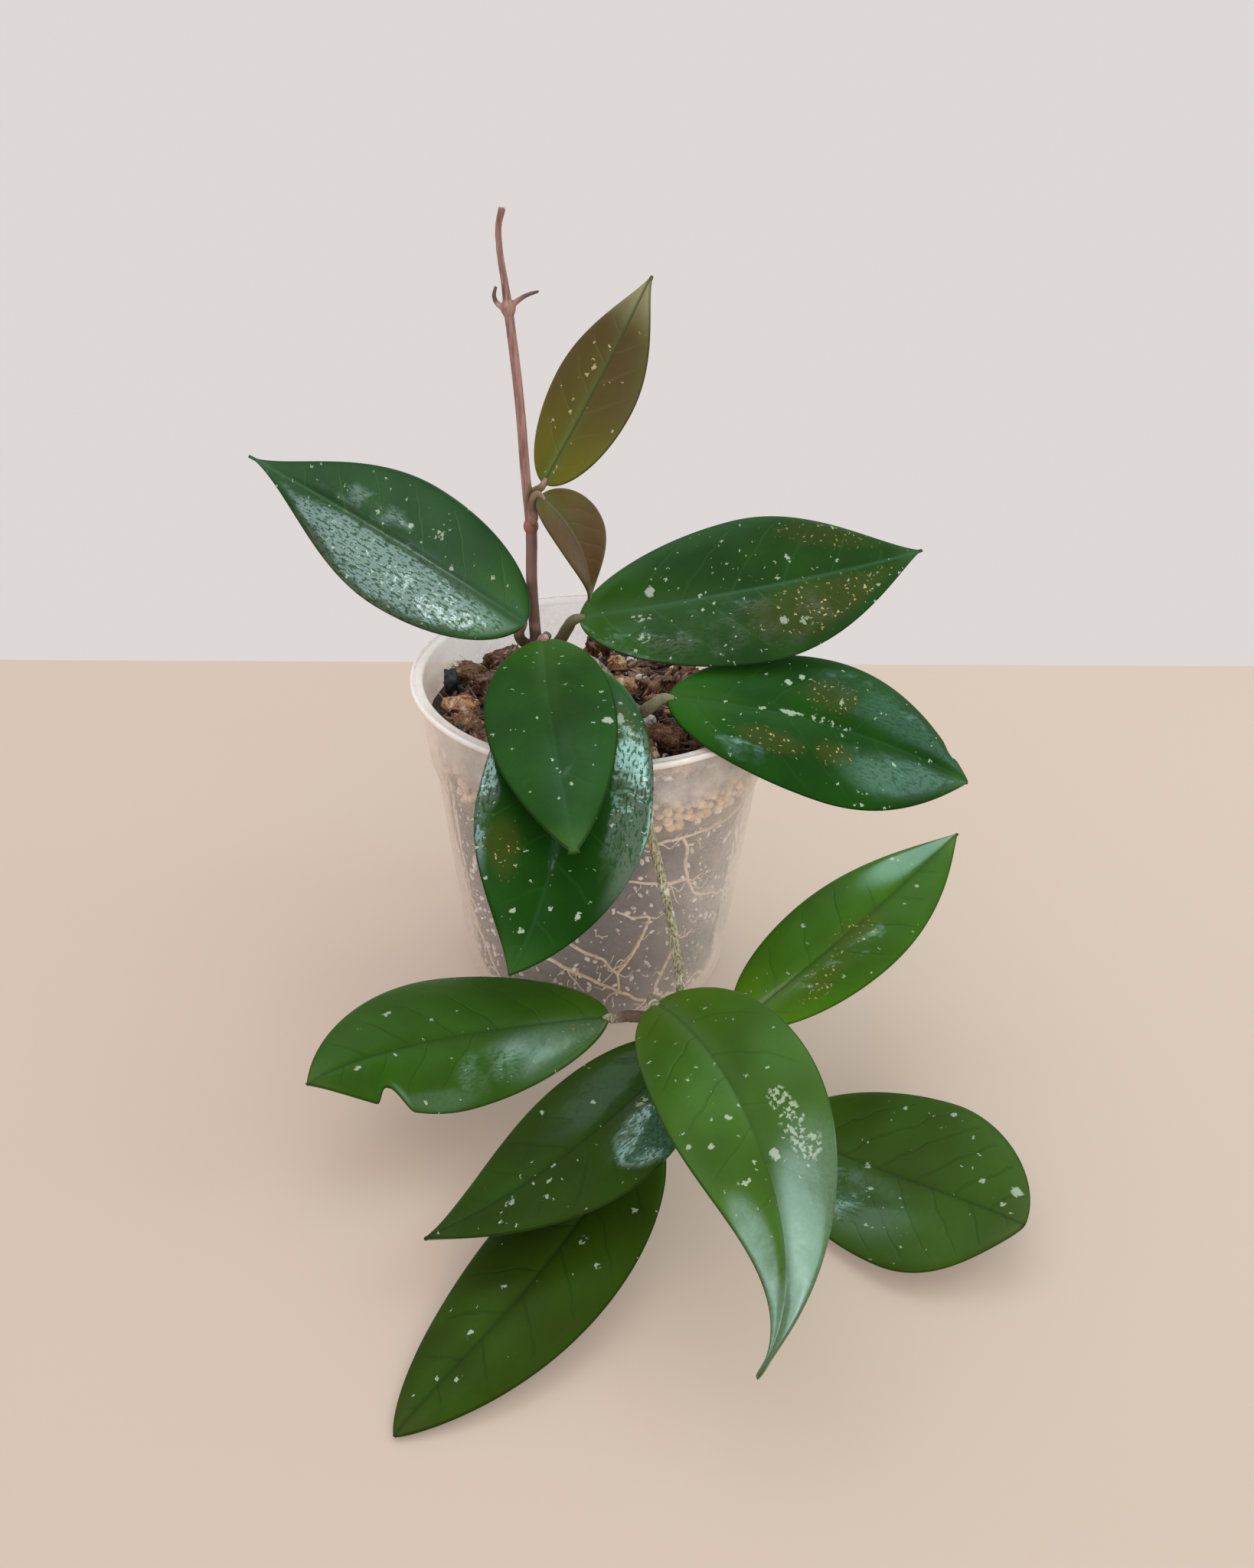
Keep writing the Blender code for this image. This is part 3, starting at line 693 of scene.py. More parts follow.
class Tone(Enum):
    """The kinds of skin that the plant's blades have."""

    UPPER = LeafFinish(
        body=(0.020, 0.078, 0.010),
        shade=(0.014, 0.052, 0.009),
        base=(0.036, 0.13, 0.009),
        tip=(0.05, 0.12, 0.03),
        vein=(0.035, 0.12, 0.028),
        underside=(0.09, 0.16, 0.06),
        midrib=(0.05, 0.14, 0.07),
        midrib_show=0.45,
    )
    LOWER = LeafFinish(
        body=(0.030, 0.100, 0.006),
        shade=(0.024, 0.073, 0.006),
        base=(0.058, 0.15, 0.005),
        tip=(0.05, 0.10, 0.02),
        vein=(0.012, 0.05, 0.008),
        underside=(0.10, 0.17, 0.05),
        midrib=(0.012, 0.05, 0.008),
    )
    SHADED = LeafFinish(
        body=(0.030, 0.068, 0.005),
        shade=(0.025, 0.048, 0.005),
        base=(0.042, 0.10, 0.005),
        tip=(0.04, 0.06, 0.012),
        vein=(0.008, 0.03, 0.006),
        underside=(0.09, 0.14, 0.05),
        midrib=(0.008, 0.03, 0.006),
        fleck_share=0.13,
        glow_show=0.1,
    )
    OLIVE = LeafFinish(
        body=(0.090, 0.070, 0.010),
        shade=(0.085, 0.053, 0.016),
        base=(0.15, 0.15, 0.006),
        # a pale young tip, made paler still as painted sheen on the upper part
        tip=(0.34, 0.35, 0.18),
        vein=(0.14, 0.15, 0.06),
        underside=(0.13, 0.11, 0.04),
        midrib=(0.035, 0.05, 0.01),
        midrib_show=0.75,
        vein_show=0.25,
        fleck=(0.45, 0.40, 0.25),
        fleck_share=0.08,
        roughness=0.4,
        base_reach=0.5,
        tip_reach=0.28,
    )
    BRONZE = LeafFinish(
        body=(0.135, 0.080, 0.022),
        shade=(0.120, 0.066, 0.026),
        base=(0.15, 0.11, 0.02),
        tip=(0.36, 0.42, 0.25),
        vein=(0.13, 0.09, 0.05),
        underside=(0.12, 0.08, 0.04),
        midrib=(0.15, 0.12, 0.08),
        midrib_show=0.5,
        vein_show=0.15,
        fleck=(0.40, 0.33, 0.2),
        fleck_share=0.03,
        roughness=0.4,
        tip_reach=0.22,
    )


@dataclass(frozen=True)
class Patch:
    """A soft patch of a blade: its middle and its reach, as shares along and across."""

    along: float
    across: float
    long: float
    wide: float
    strength: float = 1.0

    def at(self, along: float, across: float) -> float:
        """How strong it is at a point."""
        away = math.hypot((along - self.along) / self.long, (across - self.across) / self.wide)
        return self.strength * (1 - smooth(away, 0.45, 1.0))


@dataclass(frozen=True)
class Splash:
    """A larger silver mark: its shares along and across the blade, and its radius in millimetres."""

    along: float
    across: float
    size: float
    stretch: float = 1.0
    broken: bool = False


@dataclass(frozen=True)
class Bite:
    """A rounded gap in a blade's edge: share along, side, half its mouth and its depth."""

    along: float
    side: int
    mouth: float
    depth: float

    def taken(self, along: float, length: float) -> float:
        """How deep it is where a row of the blade meets it."""
        away = abs(along - self.along) * length / self.mouth
        return self.depth * (1 - smooth(away, 0.08, 1.0))


@dataclass(frozen=True)
class Station:
    """One row of a blade: its place on the midrib, its directions and its half width to either side."""

    along: float
    place: Vector
    side: Vector
    normal: Vector
    left: float
    right: float


@dataclass(frozen=True)
class Leaf:
    """One blade, with the sizes of its CAD node.

    heading, pitch and roll are where it starts, and sweep, droop and twist are how far they change along it.
    hook turns the tip alone. fold raises both halves, and cup lays them back down towards the edge.
    """

    node: str
    base: Point
    heading: float
    pitch: float
    length: float
    width: float
    droop: float = 0.0
    sweep: float = 0.0
    hook: float = 0.0
    roll: float = 0.0
    twist: float = 0.0
    fold: float = 0.15
    cup: float = 0.15
    belly: float = 0.45
    taper: float = 1.3
    skew: float = 0.0
    thickness: float = 1.2
    tone: Tone = Tone.UPPER
    slot: str = "leaf_green"
    wet: tuple[Patch, ...] = ()
    sheen: tuple[Patch, ...] = ()
    # patches of painted warm reflection
    warm_reflection: tuple[Patch, ...] = ()
    splashes: tuple[Splash, ...] = ()
    bites: tuple[Bite, ...] = ()
    veins: VeinPlan = VeinPlan()
    seed: int = 0
    tint: Colour = (1.0, 1.0, 1.0)
    gloss: float = 0.16
    flecked: float = 1.0
    veined: float = 0.6
    ribbed: float = 1.0
    coat_roughness: float = 0.14
    coat_ior: float = 1.7
    # how strongly painted sheen tints the wet and glossy patches
    painted_sheen: float = 0.0
    rows: int = 120
    lanes: int = 48
    quilting: float = 0.13
    waviness: float = 0.5
    tip_end: float = 0.5

    base_roundness = 0.55
    base_end = 1.3
    hook_power = 6
    rim_power = 14
    end_power = 50
    groove_depth = 0.25
    groove_reach = 1.1
    field_edge = 0.22
    keel_depth = 0.35
    keel_reach = 1.3
    under_relief = 0.5
    paints = ("wet", "sheen", "warm_reflection")

    def tinted(self, colour: Colour) -> Colour:
        """A skin's colour with this blade's own tint."""
        return tuple(part * share for part, share in zip(colour, self.tint))

    def directions(self, along: float) -> tuple[Vector, Vector, Vector]:
        """The blade's three directions at a place along it.

        Args:
            along: the place, from 0 at the base to 1 at the tip.

        Returns:
            The midrib's direction, the sideways one and the upward normal.
        """
        heading = math.radians(self.heading + self.sweep * along + self.hook * along**self.hook_power)
        pitch = math.radians(self.pitch + self.droop * along)
        roll = math.radians(self.roll + self.twist * along)
        ahead = Vector((math.cos(heading), math.sin(heading), 0))
        level = Vector((-math.sin(heading), math.cos(heading), 0))
        forward = math.cos(pitch) * ahead + math.sin(pitch) * Vector((0, 0, 1))
        side = math.cos(roll) * level + math.sin(roll) * forward.cross(level)
        return forward, side, forward.cross(side)

    def half_width(self, along: float) -> float:
        """Half the blade's width, before its edge is bitten.

        Args:
            along: the place, from 0 at the base to 1 at the tip.

        Returns:
            The half width.
        """
        if along < self.belly:
            share = (1 - (1 - along / self.belly) ** 2) ** self.base_roundness
        else:
            share = (1 - ((along - self.belly) / (1 - self.belly)) ** 2) ** self.taper
        return max(self.width / 2 * share, self.base_end + (self.tip_end - self.base_end) * along)

    def stations(self) -> list[Station]:
        """Walks the midrib.

        Returns:
            The rows from the base to the tip, closer together at both ends.
        """
        rows = []
        place, last, steps = Vector(self.base), 0.0, 3
        for row in range(self.rows + 1):
            along = 0.5 - 0.5 * math.cos(math.pi * row / self.rows)
            for step in range(steps):
                forward, _, _ = self.directions(last + (along - last) * (step + 0.5) / steps)
                place = place + forward * self.length * (along - last) / steps
            _, side, normal = self.directions(along)
            half = self.half_width(along)
            reach = {+1: half * (1 + self.skew), -1: half * (1 - self.skew)}
            for bite in self.bites:
                reach[bite.side] -= bite.taken(along, self.length)
            rows.append(Station(along, place, side, normal, reach[+1], reach[-1]))
            last = along
        return rows

    def body(self, along: float, across: float) -> float:
        """The blade's thickness, which rounds off to nothing at its rim.

        Args:
            along: the place along the blade.
            across: the place across it, from -1 to 1.

        Returns:
            A share of the full thickness.
        """
        rim = 1 - abs(across) ** self.rim_power
        end = 1 - abs(2 * along - 1) ** self.end_power
        return math.sqrt(max(rim * end, 0.0))

    def swell(self, along: float, x: float, y: float, across: float) -> float:
        """The relief of the upper skin: sunk veins, quilted fields and slow waves.

        Args:
            along: the place along the blade, as a share.
            x: the same in millimetres.
            y: the place across it in millimetres.
            across: the same from -1 to 1.

        Returns:
            How far the skin stands above the plain blade.
        """
        calm = 1 - along**4
        groove = -self.groove_depth * math.exp(-((y / self.groove_reach) ** 2)) * calm
        field = 1 - math.exp(-((self.veins.phase(self.length, x, y) / self.field_edge) ** 2))
        quilt = self.quilting * field * smooth(abs(y), 1.0, 6.0) * (1 - across**4) * calm
        wave = noise.noise(Vector((x * 0.05 + 9 * self.seed, y * 0.07, 0.5))) * self.waviness
        return groove + quilt + wave * smooth(abs(across), 0.0, 0.5)

    def build(self) -> bpy.types.Object:
        """Makes the blade as one closed shape, with an upper skin and an underside that meet at a round rim.

        Returns:
            The dressed piece.
        """
        shape = bmesh.new()
        bmesh.ops.create_grid(shape, x_segments=self.rows, y_segments=self.lanes, size=0.5)
        everything = [*shape.verts, *shape.edges, *shape.faces]
        copied = bmesh.ops.duplicate(shape, geom=everything)["geom"]
        lower = [part for part in copied if isinstance(part, bmesh.types.BMVert)]
        under = [part for part in copied if isinstance(part, bmesh.types.BMFace)]
        bmesh.ops.translate(shape, verts=lower, vec=(0, 0, -1))
        bmesh.ops.reverse_faces(shape, faces=under)
        for face in under:
            face.material_index = 1
        flat = shape.verts.layers.float_vector.new("flat")
        layers = {name: shape.verts.layers.float.new(name) for name in ("share", "rim", *self.paints)}
        stations = self.stations()
        for corner in shape.verts:
            station = stations[round((corner.co.x + 0.5) * self.rows)]
            turn = 2 * corner.co.y
            across = math.copysign(0.5 - 0.5 * math.cos(math.pi * abs(turn)), turn)
            reach = station.left if across > 0 else station.right
            x, y = station.along * self.length, across * reach
            body = self.body(station.along, across)
            level = reach * (self.fold * abs(across) - self.cup * across**2)
            swell = self.swell(station.along, x, y, across)
            if corner.co.z < -0.5:
                keel = self.keel_depth * math.exp(-((y / self.keel_reach) ** 2)) * (1 - station.along)
                rise = -self.thickness / 2 - keel + swell * self.under_relief
            else:
                rise = self.thickness / 2 + swell
            corner.co = station.place + station.side * y + station.normal * (level + rise * body)
            corner[flat] = (x, y, 0.0)
            corner[layers["share"]] = station.along
            corner[layers["rim"]] = min(reach * (1 - abs(across)), (1 - station.along) * self.length)
            for paint in self.paints:
                corner[layers[paint]] = sum(patch.at(station.along, across) for patch in getattr(self, paint))
        bmesh.ops.remove_doubles(shape, verts=shape.verts, dist=0.0005)
        name = self.node.replace("leaf", "blade")
        skins = LeafSkin(name + "_skin", self).top(), LeafSkin(name + "_underside", self).under()
        return dress(object_of(name, shape, *skins), self.slot, self.node)


@dataclass(frozen=True)
class BarkFinish:
    """A stem's or a chip's skin: three colours, how they are grained, how rough it is, and tinted spots."""

    dark: Colour
    middle: Colour
    pale: Colour
    stretch: Point = (1.0, 1.0, 0.3)
    scale: float = 700.0
    depth: float = 0.15
    roughness: float = 0.7
    shaded: bool = False
    pitted: bool = False
    spots: tuple[tuple[Point, float, Colour], ...] = ()

    pits = 1.6

    def material(self, name: str) -> bpy.types.Material:
        """Makes the material.

        Args:
            name: its name.

        Returns:
            The material.
        """
        recipe = Recipe(name)
        place = recipe.place()
        drawn = recipe.stretched(place, self.stretch)
        coarse = recipe.grain(drawn, self.scale * 0.3, 4.0, 0.6)
        fine = recipe.grain(drawn, self.scale, 4.0, 0.65)
        height = recipe.plus(fine, coarse)
        brown, light = recipe.ease(fine, 0.36, 0.62), recipe.ease(coarse, 0.5, 0.72)
        colour = recipe.layered(self.dark, (brown, self.middle), (light, self.pale))
        if self.shaded:
            tint = recipe.value("shade")
            darker, paler = recipe.ease(tint, 0.0, 0.5, 0.75, 0.0), recipe.ease(tint, 0.5, 1.0, 0.0, 0.8)
            colour = recipe.layered(colour, (darker, self.dark), (paler, self.pale))
        if self.pitted:
            cells = recipe.cells(place, self.scale * self.pits).outputs["Distance"]
            pit_depth_and_shade = recipe.ease(cells, 0.15, 0.42, 1.0, 0.0)
            pit_depth_and_shade = recipe.times(pit_depth_and_shade, recipe.ease(coarse, 0.4, 0.55, 1.0, 0.2))
            # painted shade: the pits are darkened as well as sunk
            colour = recipe.blend(recipe.times(pit_depth_and_shade, 0.75), colour, self.dark)
            height = recipe.minus(height, pit_depth_and_shade)
        for centre, reach, tint in self.spots:
            away = recipe.vectors("SUBTRACT", place, tuple(part * MM for part in centre))
            share = recipe.ease(recipe.vectors("LENGTH", away), 0.6 * reach * MM, reach * MM, 0.9, 0.0)
            colour = recipe.blend(share, colour, tint)
        normal = recipe.relief(height, self.depth)
        rough = recipe.ease(fine, 0.2, 0.8, self.roughness - 0.1, self.roughness + 0.1)
        return recipe.finish(base_color=colour, roughness=rough, specular_ior_level=0.3, normal=normal)


class Matter(Enum):
    """What the mix, the stems and the roots are made of."""

    MIX = BarkFinish(
        (0.008, 0.005, 0.004), (0.04, 0.02, 0.013), (0.13, 0.07, 0.045), (1, 1, 1), 420, 0.6, 0.85,
    )
    BARK = BarkFinish(
        (0.03, 0.011, 0.007), (0.17, 0.065, 0.035), (0.42, 0.22, 0.14), (1, 1, 0.4), 750, 0.5, 0.8, True,
    )
    HUSK = BarkFinish(
        (0.06, 0.025, 0.012), (0.28, 0.13, 0.065), (0.58, 0.36, 0.22), (1, 1, 0.5), 1000, 0.45, 0.85, True,
    )
    CHARCOAL = BarkFinish(
        (0.004, 0.004, 0.005), (0.013, 0.014, 0.017), (0.05, 0.054, 0.062), (1, 1, 0.5), 700, 0.8, 0.6, True
    )
    PUMICE = BarkFinish(
        (0.14, 0.05, 0.02), (0.68, 0.36, 0.16), (0.94, 0.76, 0.54), (1, 1, 1), 620, 0.7, 0.85,
        True, pitted=True,
    )
    PEBBLE = BarkFinish(
        (0.60, 0.38, 0.20), (0.86, 0.64, 0.40), (0.95, 0.84, 0.66), (1, 1, 1), 300, 0.2, 0.85, True,
    )
    PERLITE = BarkFinish(
        (0.58, 0.53, 0.46), (0.93, 0.90, 0.85), (0.96, 0.95, 0.92), (1, 1, 1), 600, 0.3, 0.85,
        True, pitted=True,
    )
    ROOT = BarkFinish((0.58, 0.40, 0.25), (0.82, 0.63, 0.45), (0.90, 0.78, 0.62), (1, 1, 1), 500, 0.15, 0.7)
    STEM = BarkFinish(
        (0.20, 0.10, 0.085), (0.38, 0.225, 0.195), (0.54, 0.40, 0.355), (1, 1, 0.08), 900, 0.05, 0.48,
        spots=(
            ((-12.5, 6.5, 117), 7.5, (0.12, 0.115, 0.05)), ((-8.5, 2, 125.5), 8.0, (0.12, 0.115, 0.05)),
            ((-25.5, 8, 118), 5.0, (0.12, 0.10, 0.05)), ((-19, 0, 116), 7.0, (0.12, 0.10, 0.05)),
            ((-17.2, 9, 117.6), 3.4, (0.07, 0.022, 0.016)), ((-22, 10, 154), 4.5, (0.30, 0.13, 0.10)),
            ((-19.8, 11.4, 165.0), 5.2, (0.17, 0.14, 0.04)), ((-20.6, 6.2, 163.5), 4.4, (0.18, 0.11, 0.06)),
            ((-31, 9, 222.5), 3.6, (0.09, 0.05, 0.045)), ((-19.5, 9, 222.6), 5.0, (0.09, 0.05, 0.045)),
            ((-22.2, 10, 143), 11.0, (0.20, 0.12, 0.105)), ((-21.6, 10, 129), 10.0, (0.13, 0.08, 0.065)),
            ((-21.0, 10, 113), 9.0, (0.11, 0.065, 0.048)),
        ),
    )
    VINE = BarkFinish(
        (0.12, 0.105, 0.05), (0.50, 0.47, 0.32), (0.84, 0.80, 0.66), (1, 1, 0.35), 2000, 0.5, 0.7,
        spots=(
            ((16, -81, 36.5), 9.0, (0.17, 0.10, 0.075)), ((13, -21, 108), 11.0, (0.21, 0.20, 0.12)),
            ((19.5, -28, 114.5), 8.0, (0.20, 0.20, 0.11)),
        ),
    )


@dataclass(frozen=True)
class PlasticFinish:
    """Thin clear plastic with a milky haze, mist on the inside of its upper band, a whiter lip, a warmer
    outline as painted light, and a right side milkier with damp and painted light.
    """

    tint: Colour = (0.95, 0.90, 0.87)
    edge_light_tint: Colour = (0.95, 0.80, 0.70)
    clear: float = 0.06
    mist: float = 0.27
    damp_and_right_light: float = 0.1
    edge: float = 0.45
    fog: float = 0.16
    lip: float = 0.12
    beads: float = 0.05
    thickest: float = 0.97
    roughness: float = 0.32
    step: float = 0.0795
    lip_height: float = 0.1075
    groove: float = 0.0589
    rim: float = 0.0598

    def material(self, name: str) -> bpy.types.Material:
        """Makes the material, whose alpha is how milky the wall is.

        Args:
            name: its name.

        Returns:
            The material.
        """
        recipe = Recipe(name)
        place = recipe.place()
        across, deep, height = recipe.split(place)
        facing = recipe.node("ShaderNodeLayerWeight", {"Blend": 0.35}).outputs["Facing"]
        turned = recipe.maths("POWER", facing, 1.5)
        lip = recipe.ease(height, self.lip_height, self.lip_height + 0.001)
        below = recipe.minus(1.0, lip)
        band = recipe.ease(height, self.step + 0.008, self.step + 0.018, 0.1, 1.0)
        band = recipe.times(band, recipe.maths("GREATER_THAN", height, self.step))
        band = recipe.times(band, recipe.ease(deep, -0.01, 0.03, 1.0, 0.4))
        cloud, fine = recipe.grain(place, 45.0, 4.0, 0.6), recipe.grain(place, 260.0, 4.0, 0.6)
        patchy = recipe.ease(cloud, 0.35, 0.7, 0.4, 1.2)
        patchy = recipe.times(patchy, recipe.ease(fine, 0.35, 0.65, 0.75, 1.25))
        level = recipe.vectors("LENGTH", recipe.stretched(place, (1.0, 1.0, 0.0)))
        hollow = recipe.ease(recipe.size(recipe.minus(level, self.groove)), 0.0002, 0.0004, 0.1, 1.0)
        edge = recipe.ease(recipe.size(recipe.minus(level, self.rim)), 0.0002, 0.0005, 0.3, 0.0)
        drops = recipe.cells(place, 700.0).outputs["Distance"]
        beads = recipe.times(recipe.ease(drops, 0.2, 0.5, 1.0, 0.0), self.beads)
        veil: object = self.clear
        for share in (
            recipe.times(recipe.times(band, self.mist), patchy),
            recipe.times(recipe.ease(across, -0.05, -0.01, self.fog, 0.0), band),
            # milkier towards the right: damp haze, and painted light for that side's brightness
            recipe.times(recipe.times(recipe.ease(across, 0.0, 0.045), self.damp_and_right_light), patchy),
            recipe.times(turned, self.edge),
            recipe.times(lip, recipe.plus(edge, recipe.times(hollow, self.lip))),
            recipe.times(beads, below),
        ):
            veil = recipe.plus(share, veil)
        veil = recipe.maths("MINIMUM", veil, self.thickest)
        # painted light: the wall turns warmer towards its outline, where the floor's light shows through
        tint = recipe.blend(recipe.times(turned, below), self.tint, self.edge_light_tint)
        rough = recipe.ease(cloud, 0.2, 0.8, self.roughness - 0.06, self.roughness + 0.08)
        return recipe.finish(base_color=tint, alpha=veil, roughness=rough, specular_ior_level=0.3)


